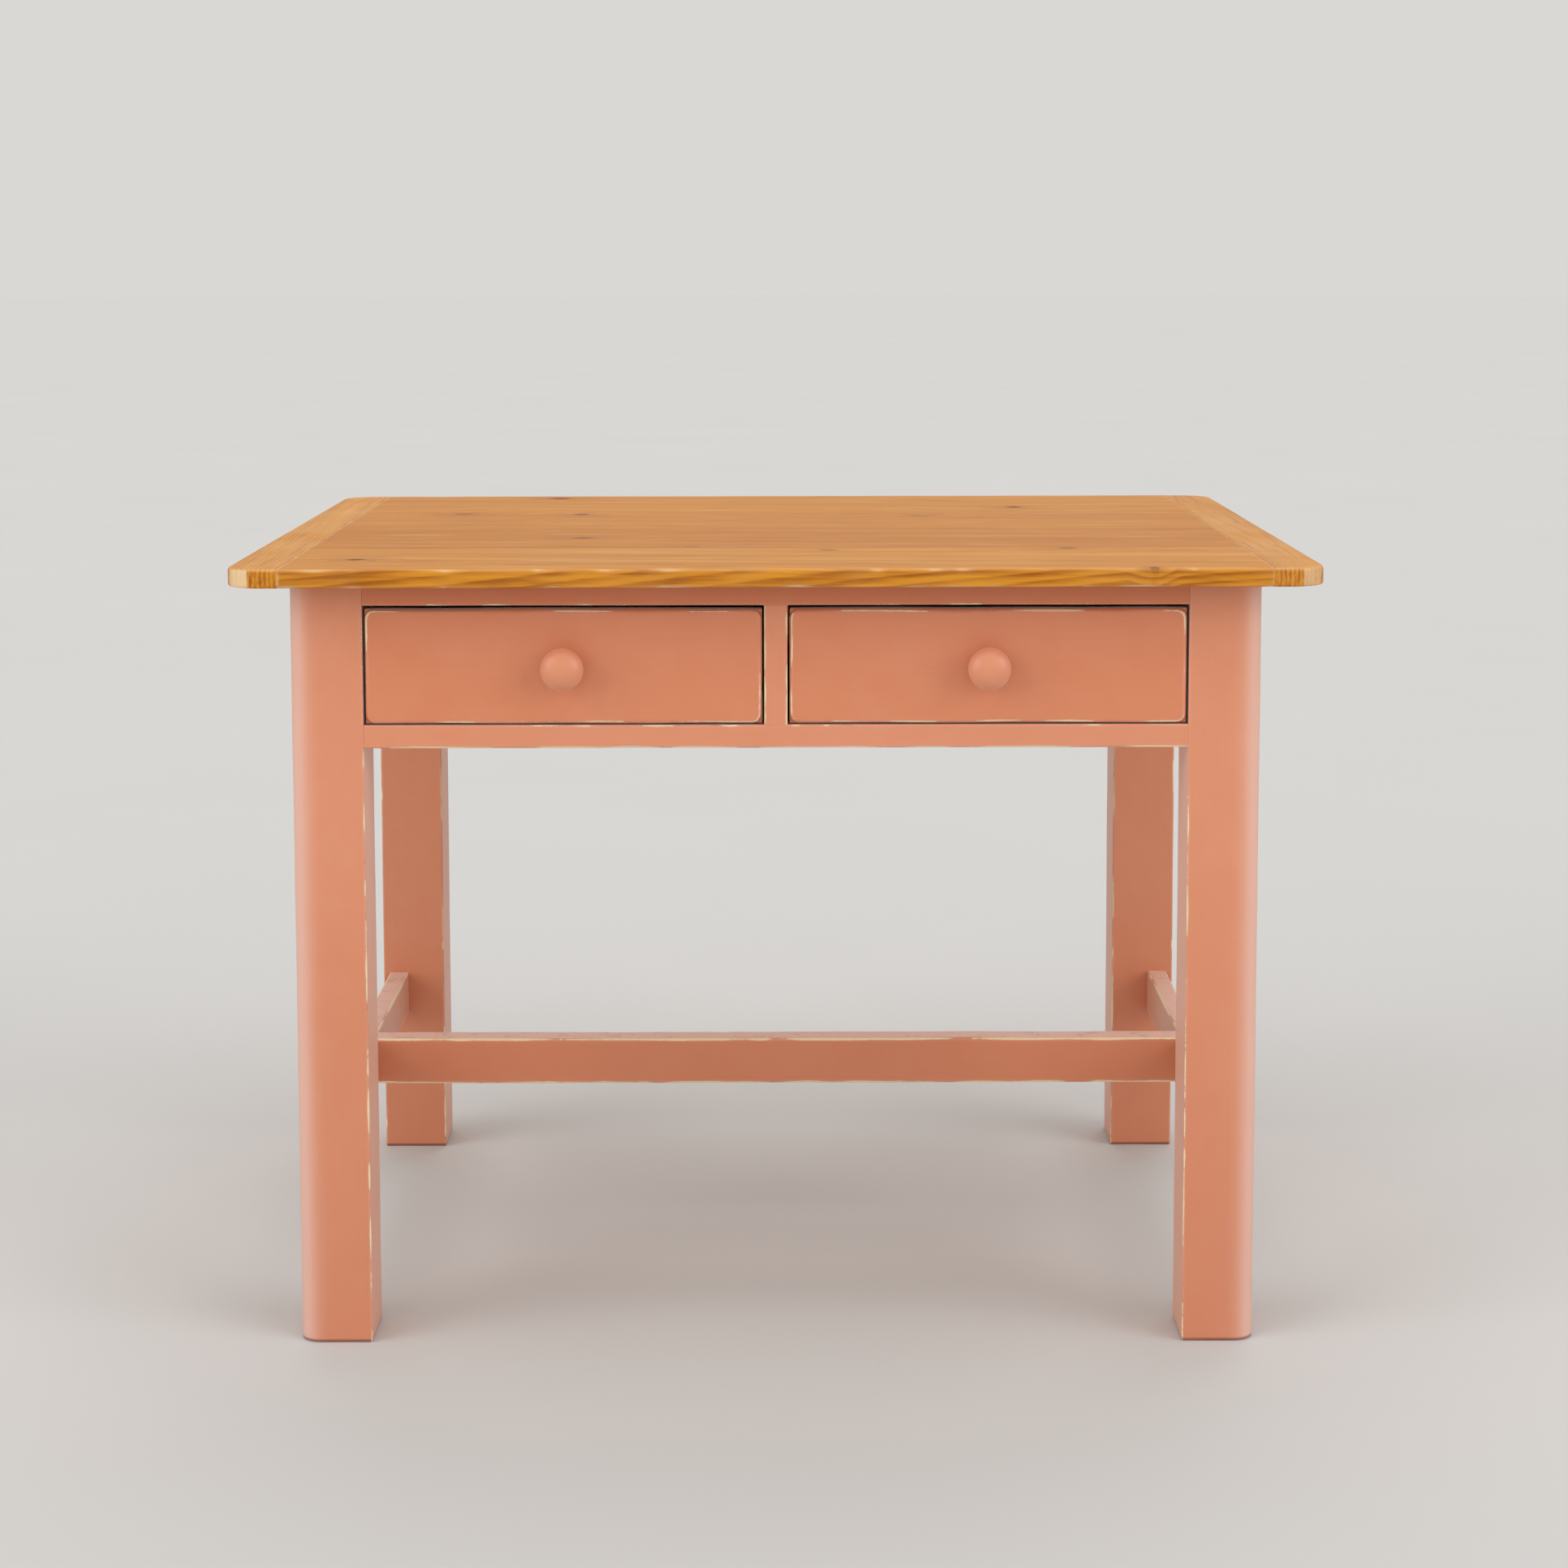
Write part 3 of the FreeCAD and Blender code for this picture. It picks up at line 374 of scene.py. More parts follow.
@dataclass(frozen=True)
class Timbering:
    """How the growth rings of the pine lie in a board and what they look like.

    A pitch is in waves to a metre, along the grain and then in the two ways across it. The bands
    have theirs along the grain, from ring to ring and from plank to plank.
    """

    spring: Colour
    summer: Colour
    ring: float = 3.4 * MM
    contrast: float = 0.5
    level: float = 0.18
    warp: float = 14.0 * MM
    tilt: float = 0.05
    heart: Pair = (0.0, 0.0)
    sway_pitch: Point = (1.3, 7.0, 7.0)
    sway_of_plank: Point = (9.0, 0.0, 5.0)
    late_rise: Pair = (0.15, 0.85)
    late_fall: Pair = (0.86, 1.0)
    band: Waves = Waves(detail=3.0)
    band_pitch: Point = (1.6, 60.0, 20.0)
    fibre: Waves = Waves(roughness=0.6)
    fibre_pitch: Point = (14.0, 520.0, 520.0)
    moves: Pair = (0.9, 0.35)
    relief: Pair = (0.6, 0.4)
    knots: tuple[Knot, ...] = ()
    knot_colour: Colour = srgb(104, 54, 20)
    ragged: tuple[Waves, Waves] = (Waves(160.0, 3.0, 0.6), Waves(150.0, 3.0, 0.6))
    ragged_apart: float = 60 * MM

    def knot_marks(self, shader: Shader, place: list[Socket]) -> list[tuple[Socket, Socket]]:
        """Draws every knot.

        Args:
            shader: The material to draw in.
            place: The object coordinates.

        Returns:
            For each knot, how far it pushes the rings, and how dark it is.
        """
        if not self.knots:
            return []
        spots = (place, [part + self.ragged_apart for part in place])
        noises = [shader.noise(spot, waves) - 0.5 for spot, waves in zip(spots, self.ragged)]
        return [knot.draw(place, noises) for knot in self.knots]

    def grain(self, shader: Shader, along: Axis) -> tuple[Socket, Socket]:
        """Draws solid wood: rings about a heart line that runs beside the board.

        Args:
            shader: The material to draw in.
            along: The way that the grain runs.

        Returns:
            The colour and the height of the grain.
        """
        place = shader.place()
        far = place[along.value]
        across, through = [place[i] for i in along.across()]
        heart_across, heart_through, plank = shader.parts(shader.attribute("heart", "Vector"))
        sway = stretched((far, across, through), self.sway_pitch)
        sway = [part + plank * step for part, step in zip(sway, self.sway_of_plank)]
        side = across - (heart_across + self.heart[0]) + far * self.tilt
        deep = through - (heart_through + self.heart[1])
        distance = (side * side + deep * deep) ** 0.5
        distance = mottled(distance, [shader.noise(sway, Waves())], [self.warp])
        marks = self.knot_marks(shader, place)
        for push, _ in marks:
            distance = distance + push
        ring = (distance / self.ring).fraction()
        late = ring.rise(*self.late_rise) * (1.0 - ring.rise(*self.late_fall))
        band = shader.noise(stretched((far, distance, plank), self.band_pitch), self.band)
        fibre = shader.noise(stretched((far, across, through), self.fibre_pitch), self.fibre)
        share = mottled(late.line(self.contrast, self.level), (band, fibre), self.moves)
        colour = shader.blend(share.clamped(), self.spring, self.summer)
        if marks:
            dark = marks[0][1]
            for _, more in marks[1:]:
                dark = dark + more
            colour = shader.blend(dark.clamped(), colour, self.knot_colour)
        return colour, late * self.relief[0] + fibre * self.relief[1]


@dataclass(frozen=True)
class GapShadow:
    """Painted shade in the gaps round the drawers, laid on the faces inside them.

    The openings are told by their outer side, their front, and the middle and half of their
    height. A pair with MM in it says where the painted shade fades in, inwards from such an edge.
    """

    side: float = 387.5 * MM
    front: float = -355 * MM
    middle: float = 653.5 * MM
    half: float = 57 * MM
    soft: float = 0.5 * MM
    post: Pair = (1.7 * MM, 1.0 * MM)
    rail: Pair = (3.0 * MM, 1.0 * MM)
    divider: Pair = (11.2 * MM, 12.2 * MM)
    mouth: float = 2.0 * MM
    reach: float = -300 * MM
    on_frame: float = 0.6
    on_drawers: float = 0.2

    def shade(self, place: list[Socket]) -> Socket:
        """How much painted shade each place gets.

        Args:
            place: The object coordinates.

        Returns:
            The share of the painted shade, from zero to one.
        """
        across = place[0].unsigned()
        upward = (place[2] - self.middle).unsigned()
        past_side = across.rise(self.side, self.side + self.soft)
        past_rail = upward.rise(self.half, self.half + self.soft)
        by_post = across.rise(self.side - self.post[0], self.side - self.post[1])
        by_rail = upward.rise(self.half - self.rail[0], self.half - self.rail[1])
        by_frame = by_post.most(by_rail).most(1.0 - across.rise(*self.divider))
        behind = place[1].rise(self.front, self.front + self.mouth)
        within = behind * (1.0 - place[1].above(self.reach)) * (1.0 - past_side.most(past_rail))
        return within * by_frame.line(self.on_frame, self.on_drawers)


@dataclass(frozen=True)
class Paint:
    """Satin chalk paint, brushed on pine and rubbed through along its arrises."""

    colour: Colour = srgb(221, 145, 109)
    deep: Colour = srgb(210, 121, 76)
    tone_moves: Point = (0.5, 0.35, 0.25)
    tone_level: float = 0.2
    # A darker tint towards the bottom of the table, mottled by clouds.
    low_colour: Colour = srgb(172, 96, 68)
    low_share: float = 0.30
    darkened_to: float = 620 * MM
    low_line: Pair = (0.5, 0.75)
    # Painted sheen highlight, laid where the mesh's pale attribute is set: the legs' rounded
    # corners and the stretchers' tops.
    painted_sheen: Colour = srgb(240, 206, 194)
    sheen_line: Pair = (0.3, 0.85)
    # The colour of the painted shade in the drawers' gaps and of the painted shadow at the feet.
    dark: Colour = srgb(112, 44, 14)
    # Where the painted shade of the drawers' gaps lies.
    gaps: GapShadow = GapShadow()
    # Painted contact shadow along the bottom few millimetres of the legs.
    foot: Pair = (1.6 * MM, 4.4 * MM)
    foot_shadow: float = 0.85
    rubbed: Colour = srgb(236, 190, 166)
    rubbing: float = 0.55
    rub_moves: Point = (0.55, 0.22, 0.45)
    worn_through: Pair = (0.50, 0.57)
    stain: Colour = srgb(126, 66, 44)
    staining: float = 0.4
    stained_rim: Pair = (0.38, 0.50)
    stained_patches: Pair = (0.50, 0.60)
    wood: Colour = srgb(242, 224, 186)
    old_wood: Colour = srgb(232, 204, 162)
    raw: Timbering = Timbering(srgb(226, 186, 132), srgb(188, 136, 84), contrast=0.45)
    raw_moves: Pair = (0.3, 0.4)
    raw_edge: Pair = (0.44, 0.5)
    clouds: Waves = Waves(5.0, 3.0)
    patches: Waves = Waves(38.0)
    chips: Waves = Waves(150.0, 3.0, 0.6)
    grit: Waves = Waves(900.0, 2.0, 0.6)
    strokes: Waves = Waves(1.0, 3.0, 0.6)
    stroke_pitch: Pair = (420.0, 9.0)
    gloss: float = 0.42
    gloss_moves: Pair = (0.10, 0.08)
    dulling: float = 0.18
    relief: Point = (0.5, 0.35, 0.2)
    relief_depth: float = 0.2 * MM
    relief_strength: float = 0.6
    sheen: float = 0.6
    bloom: float = 0.42
    bloom_spread: float = 0.45
    bloom_tint: Colour = srgb(255, 242, 234)

    def material(self, along: Axis) -> bpy.types.Material:
        """Builds the material for one way of the grain.

        Args:
            along: The way that the brush and the grain run.

        Returns:
            The material.
        """
        shader = Shader("paint_along_" + along.name.lower())
        place = shader.place()
        strokes = shader.noise(stretched(place, along.row(*self.stroke_pitch)), self.strokes)
        kinds = (self.clouds, self.patches, self.chips, self.grit)
        clouds, patches, chips, grit = [shader.noise(place, waves) for waves in kinds]
        # The tone attribute carries random variety from piece to piece, and the painted overhang
        # shadow on the rail over the drawers.
        tone = shader.attribute("tone") + self.tone_level
        tone = mottled(tone, (clouds, patches, strokes), self.tone_moves)
        coat = shader.blend(tone.clamped(), self.colour, self.deep)
        # Darker towards the bottom, mottled by clouds.
        low = 1.0 - place[2].rise(0.0, self.darkened_to)
        coat = shader.blend(low * clouds.line(*self.low_line) * self.low_share, coat, self.low_colour)
        # Painted sheen highlight along the pale attribute.
        painted_sheen = shader.attribute("pale") * strokes.line(*self.sheen_line)
        coat = shader.blend(painted_sheen, coat, self.painted_sheen)
        # Painted shade on the faces inside the drawers' gaps.
        coat = shader.blend(self.gaps.shade(place), coat, self.dark)
        # Painted contact shadow at the feet.
        coat = shader.blend((1.0 - place[2].rise(*self.foot)) * self.foot_shadow, coat, self.dark)
        worn = shader.attribute("wear")
        coat = shader.blend(worn.clamped() * self.rubbing, coat, self.rubbed)
        rub = mottled(worn, (chips, grit, patches), self.rub_moves)
        through = rub.rise(*self.worn_through)
        rim = rub.rise(*self.stained_rim) * (1.0 - through) * patches.rise(*self.stained_patches)
        coat = shader.blend(rim * self.staining, coat, self.stain)
        coat = shader.blend(through, coat, shader.blend(strokes, self.wood, self.old_wood))
        raw = mottled(shader.attribute("raw"), (chips, patches), self.raw_moves)
        bare = raw.rise(*self.raw_edge)
        grain, height = self.raw.grain(shader, along)
        rough = mottled(self.gloss, (clouds, strokes), self.gloss_moves)
        level = (1.0 - through) * (1.0 - bare) * self.relief[0]
        level = level + strokes * self.relief[1] + height * bare * self.relief[2]
        return shader.finish(
            shader.blend(bare, coat, grain),
            rough + (through + bare) * self.dulling,
            shader.bump(level, self.relief_depth, self.relief_strength),
            Specular_IOR_Level=self.sheen,
            Sheen_Weight=self.bloom,
            Sheen_Roughness=self.bloom_spread,
            Sheen_Tint=self.bloom_tint,
        )


@dataclass(frozen=True)
class Streaks:
    """How drawn out the streaks of the wax are: waves to a metre on each axis, broad and fine."""

    broad: Point
    fine: Point
    broad_share: float


STREAKS = {
    Axis.X: Streaks((1.0, 9.0, 9.0), (14.0, 300.0, 300.0), 0.5),
    Axis.Y: Streaks((24.0, 1.0, 15.0), (420.0, 14.0, 110.0), 0.25),
}


@dataclass(frozen=True)
class Wax:
    """Pine under a warm, thin coat of wax, which has soaked in deeper at its edges."""

    wood: Timbering
    aged: Colour = srgb(176, 106, 44)
    # The colour of paler wood, and of the corner patches, which carry a painted highlight.
    pale: Colour = srgb(240, 212, 168)
    paling: float = -0.7
    wide: Waves = Waves(detail=3.0)
    wide_pitch: Point = (2.6, 13.0, 13.0)
    wide_move: float = 0.55
    drawn: Waves = Waves(7.0, 4.0, 0.62)
    streak: Colour = srgb(168, 94, 36)
    streaked: Pair = (0.54, 0.72)
    streaking: float = 0.5
    light: Colour = srgb(236, 184, 116)
    lighter: Pair = (0.30, 0.45)
    lighting: float = 0.25
    upper: float = 750 * MM
    edge_depth: Pair = (3.2 * MM, 0.4 * MM)
    edge: Colour = srgb(150, 78, 8)
    edge_light: Colour = srgb(212, 142, 38)
    edge_cover: float = 0.88
    soaked: Waves = Waves(9.0, 3.0, 0.6)
    lines: Waves = Waves(1.0, 4.0, 0.6)
    lines_share: float = 0.85
    soaked_grain: float = 0.18
    soaked_edge: Pair = (0.34, 0.66)
    # Pale patches at the front corners of the top: partly sanded wear, partly a painted highlight
    # that is stronger to the left.
    corner: Pair = (484 * MM, 382 * MM)
    corner_soft: Pair = (2.5 * MM, 15 * MM)
    corner_patch: Pair = (0.5, 0.5)
    highlight_to_left: float = 0.6
    highlight_and_wear: float = 0.8
    clouds: Waves = Waves(9.0, 3.0)
    cloud_move: float = 0.2
    smear_pitch: Point = (12.0, 60.0, 60.0)
    gloss: float = 0.52
    gloss_moves: Pair = (0.14, 0.12)
    relief_depth: float = 0.06 * MM
    relief_strength: float = 0.5
    sheen: float = 0.14

    def stained_edge(self, shader: Shader, streaks: Streaks, dry: Socket) -> Socket:
        """The colour of the top's edges.

        Args:
            shader: The material to draw in.
            streaks: How drawn out the streaks are.
            dry: Where the grain takes up little wax, from zero to one.

        Returns:
            The colour.
        """
        place, broad = shader.place(), streaks.broad_share
        soaked = shader.noise(stretched(place, streaks.broad), self.soaked) * broad
        lines = shader.noise(stretched(place, streaks.fine), self.lines)
        soaked = soaked + lines * (self.lines_share - broad) + dry * self.soaked_grain
        return shader.blend(soaked.rise(*self.soaked_edge), self.edge, self.edge_light)

    def material(self, along: Axis) -> bpy.types.Material:
        """Builds the material for one way of the grain.

        Args:
            along: The way that the grain runs.

        Returns:
            The material.
        """
        shader = Shader("wax_along_" + along.name.lower())
        grain, height = self.wood.grain(shader, along)
        place = shader.place()
        clouds = shader.noise(place, self.clouds)
        smear = shader.noise(stretched(place, self.smear_pitch), Waves())
        drawn = shader.noise(stretched(place, STREAKS[along].broad), self.drawn)
        wide = shader.noise(stretched(place, self.wide_pitch), self.wide)
        tone = mottled(shader.attribute("tone"), [wide], [self.wide_move])
        grain = shader.blend(tone.clamped(), grain, self.aged)
        grain = shader.blend((tone * self.paling).clamped(), grain, self.pale)
        grain = shader.blend(drawn.rise(*self.streaked) * self.streaking, grain, self.streak)
        light = (1.0 - drawn.rise(*self.lighter)) * self.lighting
        grain = shader.blend(light, grain, self.light)
        edge = 1.0 - place[2].rise(*[self.upper - depth for depth in self.edge_depth])
        stained = self.stained_edge(shader, STREAKS[along], 1.0 - height)
        colour = shader.blend(edge * self.edge_cover, grain, stained)
        # Painted highlight at the front corners, stronger to the left, on top of the real wear of
        # the arrises.
        offs = [part.unsigned() - start for part, start in zip(place, self.corner)]
        turns = [off.rise(0.0, soft) for off, soft in zip(offs, self.corner_soft)]
        corner_patch = clouds.line(*self.corner_patch) - place[0] * self.highlight_to_left
        highlight_and_wear = turns[0] * turns[1] * edge * corner_patch + shader.attribute("wear")
        highlight_and_wear = mottled(highlight_and_wear, [clouds], [self.cloud_move])
        return shader.finish(
            shader.blend(highlight_and_wear.clamped() * self.highlight_and_wear, colour, self.pale),
            mottled(self.gloss, (clouds, smear), self.gloss_moves),
            shader.bump(height, self.relief_depth, self.relief_strength),
            Specular_IOR_Level=self.sheen,
        )


@dataclass(frozen=True)
class Bare:
    """Pine with no finish, as inside the drawers and under the top."""

    wood: Timbering = Timbering(
        srgb(230, 194, 144),
        srgb(192, 142, 90),
        ring=3.0 * MM,
        contrast=0.38,
        warp=24 * MM,
        heart=(0.03, 0.49),
    )
    grime: Colour = srgb(150, 110, 72)
    grime_waves: Waves = Waves(14.0, 4.0, 0.6)
    grimy: Pair = (0.5, 0.8)
    griming: float = 0.3
    gloss: float = 0.68
    gloss_move: float = 0.1
    relief_depth: float = 0.15 * MM
    relief_strength: float = 0.6

    def material(self, along: Axis) -> bpy.types.Material:
        """Builds the material for one way of the grain.

        Args:
            along: The way that the grain runs.

        Returns:
            The material.
        """
        shader = Shader("bare_along_" + along.name.lower())
        grain, height = self.wood.grain(shader, along)
        grime = shader.noise(shader.place(), self.grime_waves)
        return shader.finish(
            shader.blend(grime.rise(*self.grimy) * self.griming, grain, self.grime),
            mottled(self.gloss, [grime], [self.gloss_move]),
            shader.bump(height, self.relief_depth, self.relief_strength),
        )


@dataclass(frozen=True)
class Steel:
    """Plain screws and nails, dulled with age."""

    colour: Colour = srgb(168, 164, 156)
    dull: Colour = srgb(112, 100, 88)
    stain: Waves = Waves(700.0, 3.0, 0.6)
    stained: Pair = (0.45, 0.7)
    gloss_line: Pair = (0.3, 0.25)
    relief_depth: float = 0.05 * MM
    relief_strength: float = 0.4
    metal: float = 0.9

    def material(self, along: Axis) -> bpy.types.Material:
        """Builds the material.

        Args:
            along: Not used, because steel has no grain.

        Returns:
            The material.
        """
        shader = Shader("steel")
        stain = shader.noise(shader.place(), self.stain)
        return shader.finish(
            shader.blend(stain.rise(*self.stained), self.colour, self.dull),
            stain.line(*self.gloss_line),
            shader.bump(stain, self.relief_depth, self.relief_strength),
            Metallic=self.metal,
        )


TOP_KNOTS = (
    Knot(-0.397, -0.322, 10 * MM, 9 * MM, 0.8),
    Knot(-0.345, 0.166, 12 * MM, 11 * MM, 0.55),
    Knot(-0.215, 0.163, 11 * MM, 12 * MM, 0.8),
    Knot(-0.196, -0.109, 13 * MM, 12 * MM, 0.7),
    Knot(-0.254, 0.375, 14 * MM, 12 * MM, 0.75),
    Knot(-0.083, -0.203, 9 * MM, 8 * MM, 0.4),
    Knot(0.051, -0.238, 10 * MM, 8 * MM, 0.5),
    Knot(0.156, 0.135, 11 * MM, 10 * MM, 0.5),
    Knot(0.267, 0.247, 11 * MM, 12 * MM, 0.8),
    Knot(0.285, -0.222, 10 * MM, 9 * MM, 0.6),
    Knot(0.348, -0.405, 5 * MM, 4 * MM, 1.3),
)
HONEY_PINE = Timbering(
    srgb(215, 150, 66), srgb(176, 106, 40), ring=4.2 * MM, contrast=0.34, knots=TOP_KNOTS
)


class Finishes:
    """Every finish of the table, each made once for each way of the grain."""

    def __init__(self) -> None:
        """Names the finishes."""
        self.kinds = {
            Coat.PAINT: Paint(),
            Coat.WAX: Wax(HONEY_PINE),
            Coat.BARE: Bare(),
            Coat.STEEL: Steel(),
        }
        self.made: dict[tuple[Coat, Axis], bpy.types.Material] = {}

    def get(self, coat: Coat, along: Axis = Axis.Z) -> bpy.types.Material:
        """The material of a coat.

        Args:
            coat: The coat.
            along: The way that the grain runs.

        Returns:
            The material.
        """
        key = (coat, Axis.Z if coat is Coat.STEEL else along)
        if key not in self.made:
            self.made[key] = self.kinds[coat].material(key[1])
        return self.made[key]


FINISHES = Finishes()


# ---- Meshes ---------------------------------------------------------------------------------


class Draw(Enum):
    """What is drawn at random for a piece. Its number keeps each kind of draw apart."""

    FRONT_RADIUS = 7
    FRONT_RUB = 11
    FRONT_TRIM = 13
    DENTS = 17
    RADIUS = 31
    RUB = 37
    FACES = 41
    ENDS = 53
    HEART = 59

    def seed(self, piece: int, index: int = 0) -> int:
        """The seed of one draw of one piece."""
        return piece * self.value + index


class Drift:
    """A smooth random wander along a line, from about -1 to 1."""

    WAVES = 6
    LENGTHS = (0.45, 1.9)
    SIZES = (0.5, 1.0)
    CALM = 1.2

    def __init__(self, seed: int, wave: float) -> None:
        """Draws the waves.

        Args:
            seed: Which wander it is.
            wave: The usual wavelength, in metres.
        """
        draw = np.random.default_rng(seed)
        self.rates = 2 * math.pi / (wave * draw.uniform(*self.LENGTHS, self.WAVES))
        self.phases = draw.uniform(0, 2 * math.pi, self.WAVES)
        self.sizes = draw.uniform(*self.SIZES, self.WAVES)
        self.sizes /= math.sqrt((self.sizes**2).sum()) * self.CALM

    def __call__(self, along: np.ndarray) -> np.ndarray:
        """The wander at some places along the line."""
        return (self.sizes * np.sin(along[..., None] * self.rates + self.phases)).sum(-1)

    def share(self, along: np.ndarray) -> np.ndarray:
        """The wander as a share from zero to one."""
        return np.clip(0.5 + 0.5 * self(along), 0, 1)


def in_scene(name: str, data: bpy.types.ID) -> bpy.types.Object:
    """Puts a mesh, a lamp or a camera into the scene.

    Args:
        name: The object's name.
        data: What it shows.

    Returns:
        The object.
    """
    made = bpy.data.objects.new(name, data)
    bpy.context.scene.collection.objects.link(made)
    return made


def add_mesh(
    name: str,
    points: np.ndarray,
    faces: list[tuple[int, ...]],
    values: dict[str, np.ndarray] | None = None,
    smooth: bool = True,
) -> bpy.types.Object:
    """Puts a closed mesh into the scene, with its faces turned outwards.

    Args:
        name: The object's name.
        points: Its corners, three numbers each.
        faces: Its faces, as numbers of corners.
        values: Attributes of its corners by name, one number or three numbers each.
        smooth: Whether it is shaded smoothly.

    Returns:
        The object.
    """
    volume = 0.0
    for face in faces:
        first, rest = points[face[0]], points[list(face[1:])]
        volume += float((np.cross(rest[:-1], rest[1:]) @ first).sum())
    if volume < 0:
        faces = [face[::-1] for face in faces]
    mesh = bpy.data.meshes.new(name)
    mesh.from_pydata(points.tolist(), [], faces)
    for key, value in (values or {}).items():
        kind, part = ("FLOAT", "value") if value.ndim == 1 else ("FLOAT_VECTOR", "vector")
        kept = mesh.attributes.new(key, kind, "POINT")
        kept.data.foreach_set(part, value.astype(np.float32).ravel())
    mesh.polygons.foreach_set("use_smooth", [smooth] * len(mesh.polygons))
    mesh.update()
    return in_scene(name, mesh)


def baked(made: bpy.types.Object) -> None:
    """Works the modifiers of an object out into a plain mesh and takes them off.

    Args:
        made: The object.
    """
    bpy.context.view_layer.update()
    graph = bpy.context.evaluated_depsgraph_get()
    made.data = bpy.data.meshes.new_from_object(made.evaluated_get(graph))
    made.modifiers.clear()


def tidy_faces(mesh: bpy.types.Mesh, distance: float = 0.01 * MM) -> None:
    """Merges corners that meet and turns the faces outwards.

    Args:
        mesh: The mesh.
        distance: How near corners are that merge.
    """
    work = bmesh.new()
    work.from_mesh(mesh)
    bmesh.ops.remove_doubles(work, verts=work.verts, dist=distance)
    bmesh.ops.recalc_face_normals(work, faces=work.faces)
    work.to_mesh(mesh)
    work.free()
    mesh.update()


def settle(
    made: bpy.types.Object, body: Body, coat: Coat, along: Axis, stands_for: tuple[str, ...]
) -> None:
    """Dresses a finished piece and ties it to the frame.

    Args:
        made: The piece.
        body: The body that it rides on.
        coat: Its finish.
        along: The way that its grain runs.
        stands_for: The nodes that it takes the place of.
    """
    made.data.materials.clear()
    made.data.materials.append(FINISHES.get(coat, along))
    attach(made, body.value)
    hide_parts(*stands_for)
    LOG.info("%s: %d faces on %s", made.name, len(made.data.polygons), body.value)


@dataclass(frozen=True)
class Arris:
    """One long edge of a timber: its rounding, its rub, its dents and its painted sheen highlight.
    """

    radius: float = 2.0 * MM
    rub: float = 0.6
    dents: int = 5
    depth: float = 1.0 * MM
    steps: int = 6
    # How much painted sheen highlight lies along a broad arris.
    pale: float = 0.0
    spread: float = 1.0


@dataclass(frozen=True)
class End:
    """How a timber ends: the rounding there, and how much of it each face gets."""

    radius: float = 0.3 * MM
    rub: float = 0.0
    shares: tuple[float, float, float, float] = (1.0, 1.0, 1.0, 1.0)
    wobble: float = 0.0


@dataclass(frozen=True)
class Flush:
    """A stretch of one arris that is kept crisp, where another piece meets it flush."""

    arris: int
    low: float
    high: float
    radius: float = 0.25 * MM
    rub: float = 0.15


